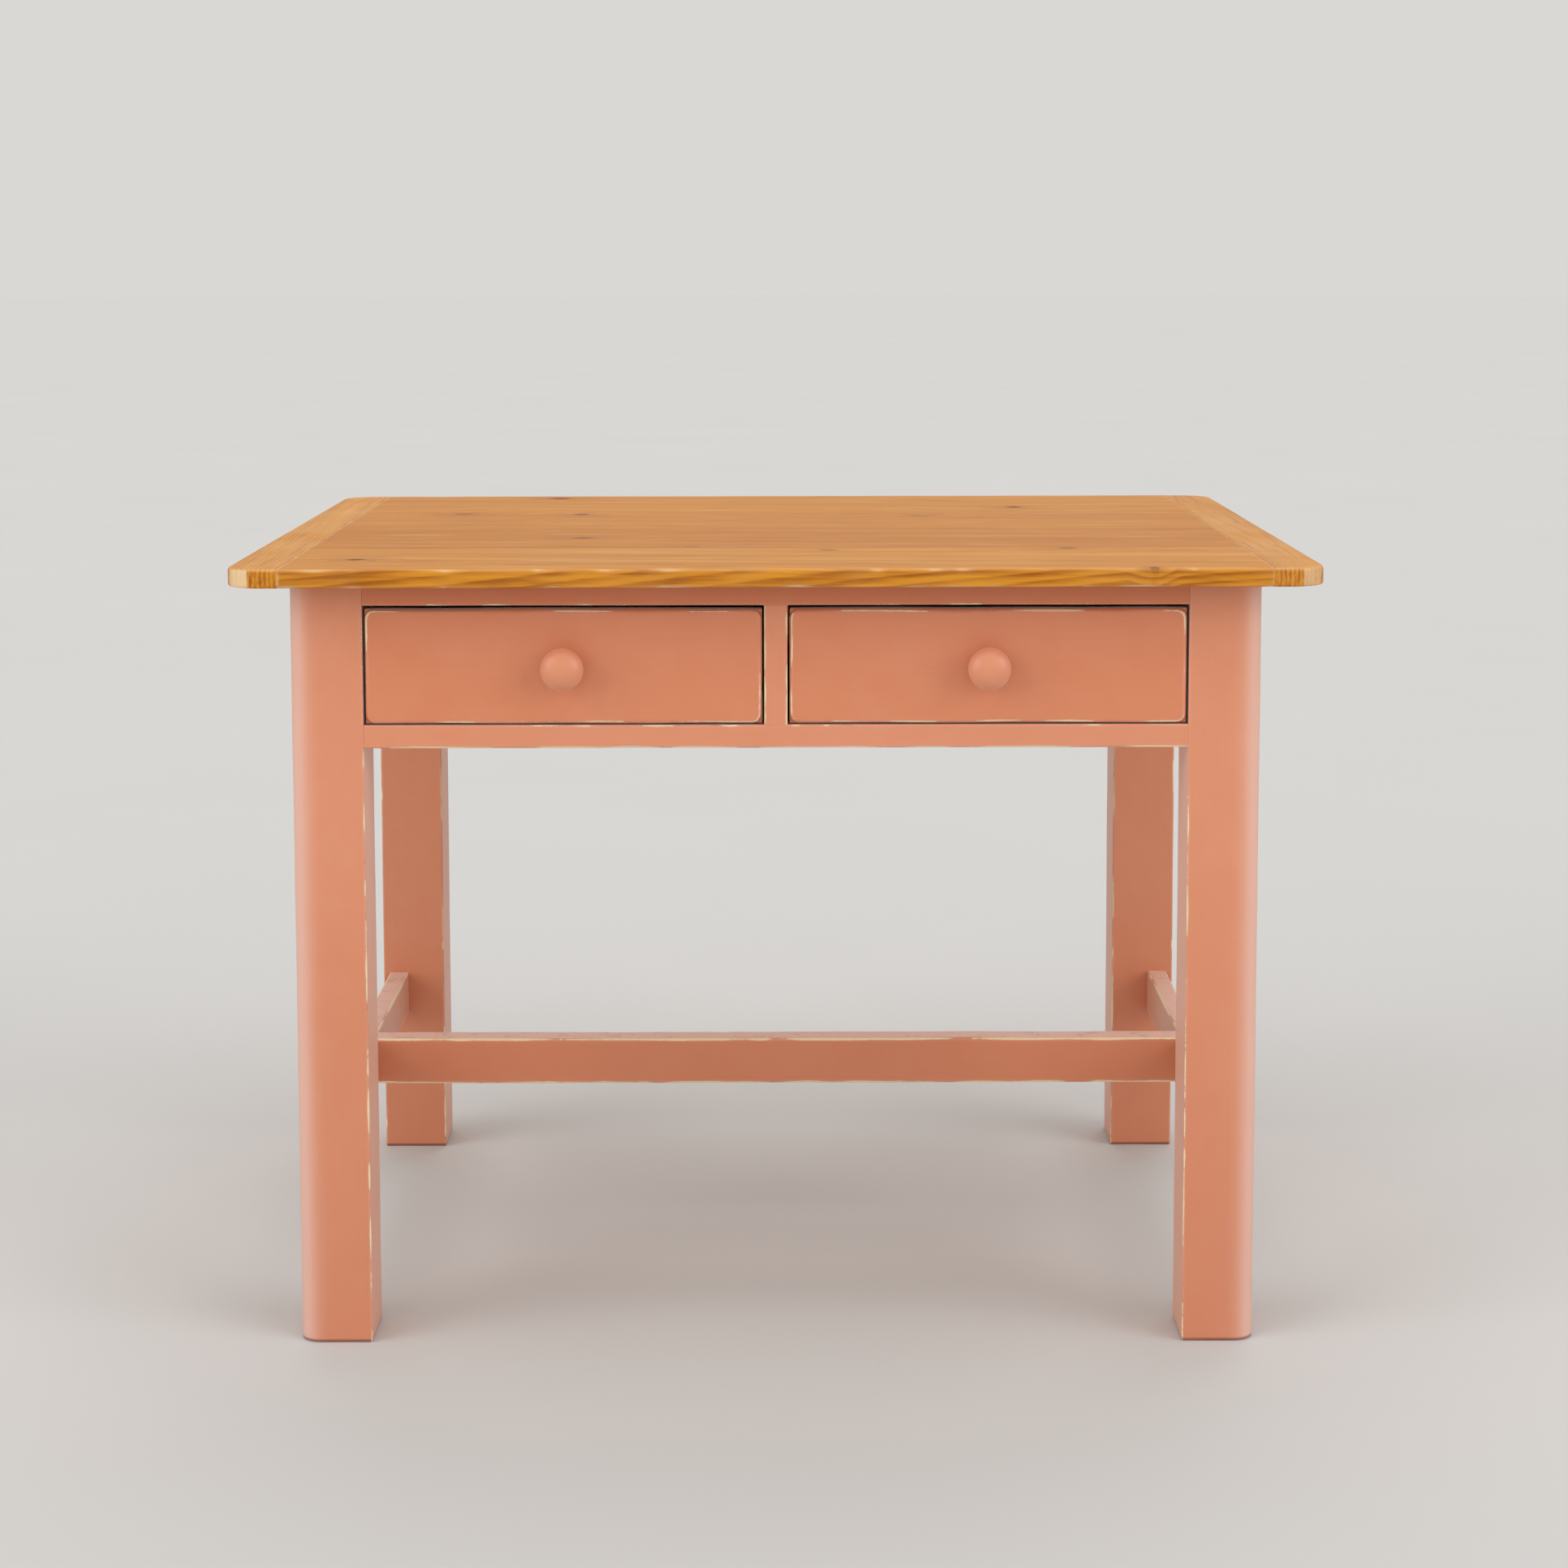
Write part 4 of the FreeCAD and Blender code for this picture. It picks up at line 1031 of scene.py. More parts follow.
@dataclass
class Timber:
    """A length of wood with rounded, dented and rubbed arrises.

    Its section lies in the two axes that it isn't swept along, u and v in that order. The arrises
    and the sides are counted from the corner at low u and low v, first towards high u.
    """

    name: str
    stands_for: tuple[str, ...]
    low: Point
    high: Point
    along: Axis
    arrises: tuple[Arris, Arris, Arris, Arris]
    seed: int
    coat: Coat = Coat.PAINT
    grain: Axis | None = None
    ends: tuple[End, End] = (End(), End())
    flushes: tuple[Flush, ...] = ()
    raw_sides: tuple[int, ...] = ()
    rubbed_and_sheen_sides: tuple[int, ...] = ()
    tone: float = 0.0
    stray: float = 0.25 * MM
    step: float = 5.0 * MM
    heart: Pair | None = None

    CORNERS = ((0, 0, 180.0), (1, 0, 270.0), (1, 1, 0.0), (0, 1, 90.0))
    SUPPORTS = (0.5 * MM, 1.4 * MM, 3.5 * MM, 8.0 * MM)
    ROOM_FOR_SUPPORTS = 2.6
    LINE_SPACING = 16.0 * MM
    LEAST_RADIUS = 0.12 * MM
    END_STEPS = 6
    CAP_INSET = 1.0 * MM
    CAP_RUB = 0.6
    NEAR_ZERO = 1e-9
    RADIUS_WAVE, RADIUS_SWING, MOST_SWING = 90 * MM, 0.14, 0.3 * MM
    RUB_WAVE, RUB_SWING, MOST_RUB = 120 * MM, 0.5, 1.3
    DENT_WIDTHS, DENT_DEPTHS, DENT_RUB = (3, 14), (0.2, 1.0), 0.5
    FLUSH_SOFT = 4 * MM
    FACE_WAVE = 300 * MM
    END_WAVE, END_SWING = 60 * MM, 0.45
    RUB_WIDTH, BROAD_RUB = 1.35 * MM, 0.4
    # The second of these is a painted sheen highlight on rubbed sides; the first is their real
    # wear.
    SIDE_RUB, SIDE_PALE = 0.36, 0.4
    SHEEN_REACH = 0.62
    PLANK_STEP = 0.61803
    HEART_ACROSS, HEART_BELOW = (-0.2, 1.2), (20, 60)

    def stations(self) -> np.ndarray:
        """Where the rings of the timber lie.

        Returns:
            For each ring its place along the timber, its inset, and how far it is from the arris
            of its end.
        """
        first, last = self.low[self.along.value], self.high[self.along.value]
        rows = []
        for end, start, way in ((self.ends[0], first, 1.0), (self.ends[1], last, -1.0)):
            half = []
            for turn in np.radians(np.linspace(90, 0, self.END_STEPS)):
                place = start + way * end.radius * (1 - math.sin(turn))
                gap = abs(turn - math.pi / 4) * end.radius
                half.append((place, end.radius * (1 - math.cos(turn)), gap))
            for more in self.SUPPORTS[:-1]:
                place = start + way * (end.radius + more)
                half.append((place, 0.0, end.radius * math.pi / 4 + more))
            rows.append(half)
        low, high = rows[0][-1][0], rows[1][-1][0]
        count = max(2, round((high - low) / self.step))
        middle = [
            (place, 0.0, min(place - first, last - place))
            for place in np.linspace(low, high, count + 1)[1:-1]
        ]
        return np.array(rows[0] + middle + rows[1][::-1])

    def arris_run(self, index: int, place: np.ndarray) -> tuple[np.ndarray, np.ndarray]:
        """How round and how rubbed one arris is along the timber.

        Args:
            index: Which arris.
            place: Places along the timber.

        Returns:
            The radius and the rub at each place.
        """
        arris = self.arrises[index]
        draw = np.random.default_rng(Draw.DENTS.seed(self.seed, index))
        swing = min(self.RADIUS_SWING * arris.radius, self.MOST_SWING)
        wander = Drift(Draw.RADIUS.seed(self.seed, index), self.RADIUS_WAVE)(place)
        radius = arris.radius + swing * wander
        wander = Drift(Draw.RUB.seed(self.seed, index), self.RUB_WAVE)(place)
        rub = arris.rub * (1 + self.RUB_SWING * wander)
        first, last = place.min(), place.max()
        for _ in range(arris.dents):
            middle = draw.uniform(first, last)
            width = draw.uniform(*self.DENT_WIDTHS) * MM
            depth = draw.uniform(*self.DENT_DEPTHS) * arris.depth
            hit = np.exp(-(((place - middle) / width) ** 2))
            radius = radius + depth * hit
            rub = rub + self.DENT_RUB * (arris.rub > 0) * hit
        for flush in self.flushes:
            if flush.arris == index:
                inside = np.clip((place - flush.low) / self.FLUSH_SOFT + 0.5, 0, 1)
                inside = inside * np.clip((flush.high - place) / self.FLUSH_SOFT + 0.5, 0, 1)
                radius = radius + (flush.radius - radius) * inside
                rub = rub + (flush.rub - rub) * inside
        return np.maximum(radius, self.LEAST_RADIUS), np.clip(rub, 0, self.MOST_RUB)

    def faces_at(self, place: np.ndarray) -> list[np.ndarray]:
        """Where the four faces lie at each place, each straying inwards a little.

        Args:
            place: Places along the timber.

        Returns:
            Low u, high u, low v and high v.
        """
        corners = ((self.low, 1.0), (self.high, -1.0))
        sides = [(corner[i], way) for i in self.along.across() for corner, way in corners]
        drifts = [Drift(Draw.FACES.seed(self.seed, i), self.FACE_WAVE) for i in range(4)]
        return [
            face + way * self.stray * drift.share(place)
            for (face, way), drift in zip(sides, drifts)
        ]

    def rings(self, rows: np.ndarray) -> tuple[np.ndarray, np.ndarray, np.ndarray, np.ndarray]:
        """The section at every station.

        Args:
            rows: The stations.

        Returns:
            Points in u and v, the rub of each, whether each lies on a raw side, and how much
            painted sheen each gets.
        """
        place, inset, _ = rows.T
        first_half = np.arange(len(rows)) < len(rows) / 2
        shares = np.where(first_half[:, None], self.ends[0].shares, self.ends[1].shares)
        lines = self.faces_at(place)
        u = [lines[0] + inset * shares[:, 0], lines[1] - inset * shares[:, 1]]
        v = [lines[2] + inset * shares[:, 2], lines[3] - inset * shares[:, 3]]
        runs = [self.arris_run(i, place) for i in range(4)]
        arcs, gaps = [], []
        for i, (at_u, at_v, start) in enumerate(self.CORNERS):
            share = np.minimum(shares[:, at_u], shares[:, 2 + at_v])
            radius = np.maximum(runs[i][0] - inset * share, self.LEAST_RADIUS)
            middle_u = u[at_u] + (radius if at_u == 0 else -radius)
            middle_v = v[at_v] + (radius if at_v == 0 else -radius)
            spread = np.linspace(0, 90, self.arrises[i].steps + 1)
            turn = np.radians(start + spread)
            arc_u = middle_u[:, None] + radius[:, None] * np.cos(turn)
            arc_v = middle_v[:, None] + radius[:, None] * np.sin(turn)
            arcs.append(np.stack([arc_u, arc_v], -1))
            gaps.append(np.radians(np.abs(spread - 45)) * radius[:, None])
        points, rubs, raws, pales = [], [], [], []
        for i, arris in enumerate(self.arrises):
            after = (i + 1) % 4
            side, from_low, from_high = self.side_points(arcs[i][:, -1], arcs[after][:, 0])
            low_gap, high_gap = from_low + gaps[i][:, -1:], from_high + gaps[after][:, :1]
            rub_low = self.rub_at(low_gap, runs[i][1], arris)
            rub = np.maximum(rub_low, self.rub_at(high_gap, runs[after][1], self.arrises[after]))
            pale_low = self.painted_sheen_at(low_gap, arris)
            pale = np.maximum(pale_low, self.painted_sheen_at(high_gap, self.arrises[after]))
            # Rubbed sides get real wear and a painted sheen highlight.
            if i in self.rubbed_and_sheen_sides:
                rub = np.maximum(rub, self.SIDE_RUB)
                pale = np.maximum(pale, self.SIDE_PALE)
            points += [arcs[i], side]
            rubs += [self.rub_at(gaps[i], runs[i][1], arris), rub]
            raws += [np.zeros(gaps[i].shape), np.full(rub.shape, float(i in self.raw_sides))]
            pales += [self.painted_sheen_at(gaps[i], arris), pale]
        section, rub, raw, pale = [np.concatenate(kind, 1) for kind in (points, rubs, raws, pales)]
        self.work_ends(section, rub, rows)
        return section, rub, raw, pale

    def work_ends(self, section: np.ndarray, rub: np.ndarray, rows: np.ndarray) -> None:
        """Rubs and dents the ends, in the arrays that it is given.

        Args:
            section: Points in u and v.
            rub: The rub of each point.
            rows: The stations.
        """
        _, inset, gap = rows.T
        first_half = np.arange(len(rows)) < len(rows) / 2
        steps = np.linalg.norm(np.diff(section, axis=1, append=section[:, :1]), axis=2)
        round_it = np.cumsum(steps, 1)
        middle = section.mean(1, keepdims=True)
        for i, end in enumerate(self.ends):
            mine = first_half if i == 0 else ~first_half
            drift = Drift(Draw.ENDS.seed(self.seed, i), self.END_WAVE)
            wander = drift(round_it[mine])
            strength = end.rub * (1 + self.END_SWING * wander)
            near = strength * np.exp(-((gap[mine][:, None] / self.RUB_WIDTH) ** 2))
            rub[mine] = np.maximum(rub[mine], near)
            if end.wobble > 0:
                push = (0.5 + 0.5 * wander) * end.wobble
                share = np.clip(inset[mine] / max(end.radius, self.NEAR_ZERO), 0, 1)
                inward = middle[mine] - section[mine]
                length = np.linalg.norm(inward, axis=2, keepdims=True)
                inward /= np.maximum(length, self.NEAR_ZERO)
                section[mine] = section[mine] + inward * (push * share[:, None])[..., None]

    def rub_at(self, gap: np.ndarray, rub: np.ndarray, arris: Arris) -> np.ndarray:
        """The rub at a distance from an arris, which reaches further on a broad one."""
        width = max(self.RUB_WIDTH, self.BROAD_RUB * arris.radius) * arris.spread
        return rub[:, None] * np.exp(-((gap / width) ** 2))

    def painted_sheen_at(self, gap: np.ndarray, arris: Arris) -> np.ndarray:
        """How much painted sheen the coat gets at a distance from a broad arris."""
        return arris.pale * np.exp(-((gap / (self.SHEEN_REACH * arris.radius)) ** 2))

    def side_points(
        self, start: np.ndarray, stop: np.ndarray
    ) -> tuple[np.ndarray, np.ndarray, np.ndarray]:
        """Points between two arcs, close together near them.

        Args:
            start: The last point of one arc at every station.
            stop: The first point of the next arc at every station.

        Returns:
            The points, and their distances from the start and from the stop.
        """
        run = stop - start
        length = np.linalg.norm(run, axis=1)
        reach = np.array(self.SUPPORTS)
        squeeze = np.minimum(1.0, length / (self.ROOM_FOR_SUPPORTS * reach[-1]))[:, None]
        usual = float(np.median(length))
        lines = max(0, round((usual - 2 * reach[-1]) / self.LINE_SPACING) - 1)
        low = reach * squeeze
        high = (length[:, None] - reach * squeeze)[:, ::-1]
        shares = (np.arange(lines) + 1) / (lines + 1)
        inner = low[:, -1:] + (high[:, :1] - low[:, -1:]) * shares
        far = np.concatenate([low, inner, high], 1)
        way = run / np.maximum(length, self.NEAR_ZERO)[:, None]
        return start[:, None] + way[:, None] * far[..., None], far, length[:, None] - far

    def capped(self, section: np.ndarray) -> np.ndarray:
        """Adds a smaller ring within each end, so that the end stays flat.

        Args:
            section: Points in u and v at every station.

        Returns:
            The same with one more ring at each end.
        """
        caps = []
        for ring in (section[0], section[-1]):
            off = ring - ring.mean(0)
            half = np.maximum(np.abs(off).max(0), 2 * self.CAP_INSET)
            caps.append((ring.mean(0) + off * (1 - self.CAP_INSET / half))[None])
        return np.concatenate([caps[0], section, caps[1]])

    def build(self) -> None:
        """Makes the timber and ties it to the frame."""
        rows = self.stations()
        section, rub, raw, pale = self.rings(rows)
        section = self.capped(section)
        rub = np.concatenate([rub[:1] * self.CAP_RUB, rub, rub[-1:] * self.CAP_RUB])
        raw, pale, place = [
            np.concatenate([value[:1], value, value[-1:]]) for value in (raw, pale, rows[:, 0])
        ]
        count, size = section.shape[:2]
        points = np.empty((count * size, 3))
        points[:, self.along.value] = np.repeat(place, size)
        points[:, self.along.across()] = section.reshape(-1, 2)
        faces = [tuple(range(size))[::-1], tuple(range((count - 1) * size, count * size))]
        for low in range(0, (count - 1) * size, size):
            high = low + size
            for j in range(size):
                after = (j + 1) % size
                faces.append((low + j, low + after, high + after, high + j))
        across, through = self.heart or self.usual_heart()
        plank = (self.seed * self.PLANK_STEP) % 1.0
        values = {
            "wear": rub.ravel(),
            "raw": raw.ravel(),
            # The pale attribute carries the painted sheen highlight.
            "pale": pale.ravel(),
            "heart": np.tile([across, through, plank], (len(points), 1)),
            "tone": np.full(len(points), self.tone),
        }
        made = add_mesh(self.name, points, faces, values)
        settle(made, Body.TABLE, self.coat, self.grain or self.along, self.stands_for)

    def usual_heart(self) -> Pair:
        """Where the heart of the tree lay beside this timber.

        Returns:
            The place of the heart in u and v.
        """
        u, v = self.along.across()
        draw = np.random.default_rng(Draw.HEART.seed(self.seed))
        width = self.high[u] - self.low[u]
        across = self.low[u] + width * draw.uniform(*self.HEART_ACROSS)
        return across, self.low[v] - draw.uniform(*self.HEART_BELOW) * MM


# ---- Sub-assemblies -------------------------------------------------------------------------


@dataclass
class TableTop:
    """The boards of the top and the breadboard at each of its ends."""

    half_length: float = 508 * MM
    half_depth: float = 408 * MM
    upper: float = 750 * MM
    lower: float = 732 * MM
    seam: float = 458 * MM
    seam_gap: float = 0.05 * MM
    corner: float = 35 * MM
    arris: Arris = Arris(radius=4 * MM, rub=0.16, dents=9, depth=1.6 * MM, steps=8)
    under: Arris = Arris(radius=2 * MM, rub=0.1, dents=16, depth=1.8 * MM)
    crisp: Arris = Arris(radius=0.45 * MM, rub=0.0, dents=2, depth=0.3 * MM, steps=3)
    seams: tuple[float, ...] = (-408 * MM, -220 * MM, -10.667 * MM, 198.667 * MM, 408 * MM)
    tones: tuple[float, ...] = (0.0, 0.40, 0.30, 0.12)
    hearts: tuple[Pair, ...] = ((-0.330, 0.700), (-0.060, 0.690), (0.120, 0.655), (0.330, 0.705))
    board_ends: tuple[End, End] = (End(0.35 * MM, 0.6), End(0.35 * MM, 0.4))
    board_seed: int = 101
    end_seeds: tuple[int, int] = (111, 113)
    end_hearts: tuple[Pair, Pair] = ((-0.290, 0.738), (0.310, 0.745))
    end_tone: float = -0.12
    turned_share: float = 0.09

    def board(self, index: int) -> Timber:
        """One of the boards that run from left to right.

        Args:
            index: Its number, counted from the front.

        Returns:
            The board.
        """
        first, last = index == 0, index == len(self.seams) - 2
        reach = self.seam - self.seam_gap
        arrises = (
            self.under if first else self.crisp,
            self.under if last else self.crisp,
            self.arris if last else self.crisp,
            self.arris if first else self.crisp,
        )
        return Timber(
            "top_plank_%d" % (index + 1),
            ("top_board_%d" % (index + 1),),
            (-reach, self.seams[index], self.lower),
            (reach, self.seams[index + 1], self.upper),
            Axis.X,
            arrises,
            self.board_seed + index,
            coat=Coat.WAX,
            ends=self.board_ends,
            tone=self.tones[index],
            stray=0.12 * MM,
            heart=self.hearts[index],
        )

    def breadboard(self, side: str, low_x: float, seed: int, heart: Pair) -> Timber:
        """The board across one end of the top.

        Args:
            side: "left" or "right".
            low_x: Where its left side is.
            seed: Its seed.
            heart: Where the heart of its tree lay.

        Returns:
            The board, swept upwards so that its plan has rounded corners.
        """
        left = side == "left"
        outer = Arris(radius=self.corner, rub=0.0, dents=0, steps=18)
        inner = Arris(radius=0.3 * MM, rub=0.0, dents=0, steps=2)
        shares = (1.0, self.turned_share) if left else (self.turned_share, 1.0)
        shares += (1.0, 1.0)
        return Timber(
            "top_end_" + side,
            ("breadboard_" + side,),
            (low_x, -self.half_depth, self.lower),
            (low_x + self.half_length - self.seam, self.half_depth, self.upper),
            Axis.Z,
            (outer, inner, inner, outer) if left else (inner, outer, outer, inner),
            seed,
            coat=Coat.WAX,
            grain=Axis.Y,
            ends=(
                End(radius=2 * MM, shares=shares, wobble=0.3 * MM),
                End(radius=4 * MM, rub=0.3, shares=shares, wobble=0.6 * MM),
            ),
            tone=self.end_tone,
            stray=0.0,
            step=3 * MM,
            heart=heart,
        )

    def build(self) -> None:
        """Makes every board."""
        for index in range(len(self.seams) - 1):
            self.board(index).build()
        sides = (("left", -self.half_length), ("right", self.seam))
        for (side, low_x), seed, heart in zip(sides, self.end_seeds, self.end_hearts):
            self.breadboard(side, low_x, seed, heart).build()


@dataclass
class Legs:
    """The four legs, each with the table's outer corner well rounded."""

    outer_x: float = 457 * MM
    outer_y: float = 357 * MM
    width: float = 70 * MM
    height: float = 732 * MM
    # Its pale band is a painted sheen highlight down the rounded corner.
    corner: Arris = Arris(radius=20 * MM, rub=0.0, dents=0, steps=20, pale=0.52)
    arris: Arris = Arris(radius=2.0 * MM, rub=0.50, dents=7, depth=0.7 * MM)
    outside: Arris = Arris(radius=1.8 * MM, rub=0.3, dents=4, depth=0.5 * MM)
    foot: End = End(radius=2.2 * MM, rub=0.25, wobble=0.3 * MM)
    rail_from: float = 573 * MM
    opening: Pair = (597 * MM, 710 * MM)
    above_all: float = 832 * MM
    by_drawer: Pair = (1.1 * MM, 0.45)
    seeds: tuple[int, ...] = (201, 203, 205, 207)

    def leg(self, front: bool, left: bool, seed: int) -> Timber:
        """One leg.

        Args:
            front: Whether it is a front leg.
            left: Whether it is a left leg.
            seed: Its seed.

        Returns:
            The leg.
        """
        low_x = -self.outer_x if left else self.outer_x - self.width
        low_y = -self.outer_y if front else self.outer_y - self.width
        round_u, round_v = (0 if left else 1), (0 if front else 1)
        low, high = self.opening
        arrises, flushes = [], ()
        for i, (at_u, at_v, _) in enumerate(Timber.CORNERS):
            if (at_u, at_v) == (round_u, round_v):
                arrises.append(self.corner)
            else:
                arrises.append(self.outside if at_u == round_u else self.arris)
            if front and at_v == 0 and at_u != round_u:
                flushes = (
                    Flush(i, self.rail_from, low),
                    Flush(i, low, high, *self.by_drawer),
                    Flush(i, high, self.above_all),
                )
        name = "%s_%s" % ("front" if front else "back", "left" if left else "right")
        return Timber(
            "leg_post_" + name,
            ("leg_" + name,),
            (low_x, low_y, 0.0),
            (low_x + self.width, low_y + self.width, self.height),
            Axis.Z,
            tuple(arrises),
            seed,
            ends=(self.foot, End()),
            flushes=flushes,
        )

    def build(self) -> None:
        """Makes the four legs."""
        places = ((True, True), (True, False), (False, True), (False, False))
        for place, seed in zip(places, self.seeds):
            self.leg(*place, seed).build()


@dataclass
class Frame:
    """The rails round the drawers, the divider, the aprons and the stretchers."""

    inner_x: float = 387 * MM
    inner_y: float = 287 * MM
    front: float = -357 * MM
    rail_depth: float = 50 * MM
    top: float = 732 * MM
    bottom: float = 575 * MM
    opening: Pair = (597 * MM, 710 * MM)
    divider: float = 11 * MM
    apron_outer: Pair = (450 * MM, 350 * MM)
    thick: float = 22 * MM
    stretcher: Pair = (158 * MM, 207 * MM)
    stretcher_half: float = 15 * MM
    rail_stray: float = 0.15 * MM
    stretcher_stray: float = 0.4 * MM
    # Painted shadow of the top's overhang: the rail over the drawers takes a deeper tone.
    overhang_shadow_tone: float = 0.8
    long_tone: float = 0.2
    crisp: Arris = Arris(radius=0.5 * MM, rub=0.0, dents=0, steps=3)
    edge: Arris = Arris(radius=1.1 * MM, rub=0.34, dents=6, depth=0.6 * MM)
    lower: Arris = Arris(radius=2.2 * MM, rub=0.74, dents=8, depth=0.8 * MM)
    bar: Arris = Arris(radius=2.3 * MM, rub=0.84, dents=10, depth=1.1 * MM, spread=1.45)

    def rails(self) -> list[Timber]:
        """The rails over and under the drawers, and the divider between them.

        Returns:
            The three pieces.
        """
        front, back = self.front, self.front + self.rail_depth
        wide, half, stray = self.inner_x, self.divider, self.rail_stray
        low, high = self.opening
        crisp, edge, lower = self.crisp, self.edge, self.lower
        over = Timber(
            "rail_over_drawers",
            ("front_top_rail",),
            (-wide, front, high),
            (wide, back, self.top),
            Axis.X,
            (edge, crisp, crisp, crisp),
            seed=301,
            flushes=(Flush(0, -half, half),),
            raw_sides=(1, 2),
            # A deeper tone for the painted shadow under the top's overhang.
            tone=self.overhang_shadow_tone,
            stray=stray,
        )
        under = Timber(
            "rail_under_drawers",
            ("front_bottom_rail",),
            (-wide, front, self.bottom),
            (wide, back, low),
            Axis.X,
            (lower, crisp, crisp, edge),
            seed=303,
            flushes=(Flush(3, -half, half),),
            raw_sides=(1,),
            stray=stray,
        )
        between = Timber(
            "upright_between_drawers",
            ("drawer_divider",),
            (-half, front, low),
            (half, back, high),
            Axis.Z,
            (edge, edge, crisp, crisp),
            seed=305,
            ends=(End(0.15 * MM), End(0.15 * MM)),
            raw_sides=(2,),
            stray=stray,
            step=4 * MM,
        )
        return [over, under, between]

    def aprons(self) -> list[Timber]:
        """The aprons under the sides and the back of the top.

        Returns:
            The left, the right and the back one.
        """
        crisp, lower = self.crisp, self.lower
        outer, outer_y = self.apron_outer
        sides = (
            ("left", -outer, (lower, crisp, crisp, crisp), 310, (1, 2)),
            ("right", outer - self.thick, (crisp, lower, crisp, crisp), 312, (2, 3)),
        )
        made = [
            Timber(
                "side_apron_" + side,
                ("apron_" + side,),
                (low_x, -self.inner_y, self.bottom),
                (low_x + self.thick, self.inner_y, self.top),
                Axis.Y,
                arrises,
                seed,
                raw_sides=raw_sides,
            )
            for side, low_x, arrises, seed, raw_sides in sides
        ]
        back = Timber(
            "rear_apron",
            ("apron_back",),
            (-self.inner_x, outer_y - self.thick, self.bottom),
            (self.inner_x, outer_y, self.top),
            Axis.X,
            (crisp, lower, crisp, crisp),
            seed=315,
            raw_sides=(2, 3),
        )
        return made + [back]

    def stretchers(self) -> list[Timber]:
        """The low frame in the shape of an H.

        Returns:
            The long stretcher, and the left and the right one.
        """
        outer, deep = self.apron_outer[0], self.inner_y
        inner, half = outer - self.thick, self.stretcher_half
        bars = (
            ("long_stretcher", "stretcher_long", -inner, inner, half, Axis.X, 321),
            ("side_stretcher_left", "stretcher_left", -outer, -inner, deep, Axis.Y, 324),
            ("side_stretcher_right", "stretcher_right", inner, outer, deep, Axis.Y, 326),
        )
        return [
            Timber(
                name,
                (node,),
                (low_x, -reach, self.stretcher[0]),
                (high_x, reach, self.stretcher[1]),
                along,
                (self.bar,) * 4,
                seed,
                # Their tops get real rub and a painted sheen highlight.
                rubbed_and_sheen_sides=(2,),
                tone=self.long_tone if along is Axis.X else 0.0,
                stray=self.stretcher_stray,
            )
            for name, node, low_x, high_x, reach, along, seed in bars
        ]

    def build(self) -> None:
        """Makes every rail, apron and stretcher."""
        for timber in self.rails() + self.aprons() + self.stretchers():
            timber.build()


Outline = list[tuple[float, float]]


def prisms(shapes: list[tuple[Outline, float, float]]) -> tuple[np.ndarray, list[tuple[int, ...]]]:
    """Closed prisms along X as one mesh.

    Args:
        shapes: For each prism its corners in y and z, where it starts and where it ends.

    Returns:
        Their points and faces.
    """
    points, faces = [], []
    for outline, low_x, high_x in shapes:
        first, size = len(points), len(outline)
        ends = [range(first, first + size), range(first + size, first + 2 * size)]
        faces += [tuple(ends[0]), tuple(ends[1])[::-1]]
        for i in range(size):
            after = (i + 1) % size
            faces.append((ends[0][i], ends[1][i], ends[1][after], ends[0][after]))
        points += [(x, y, z) for x in (low_x, high_x) for y, z in outline]
    return np.array(points), faces


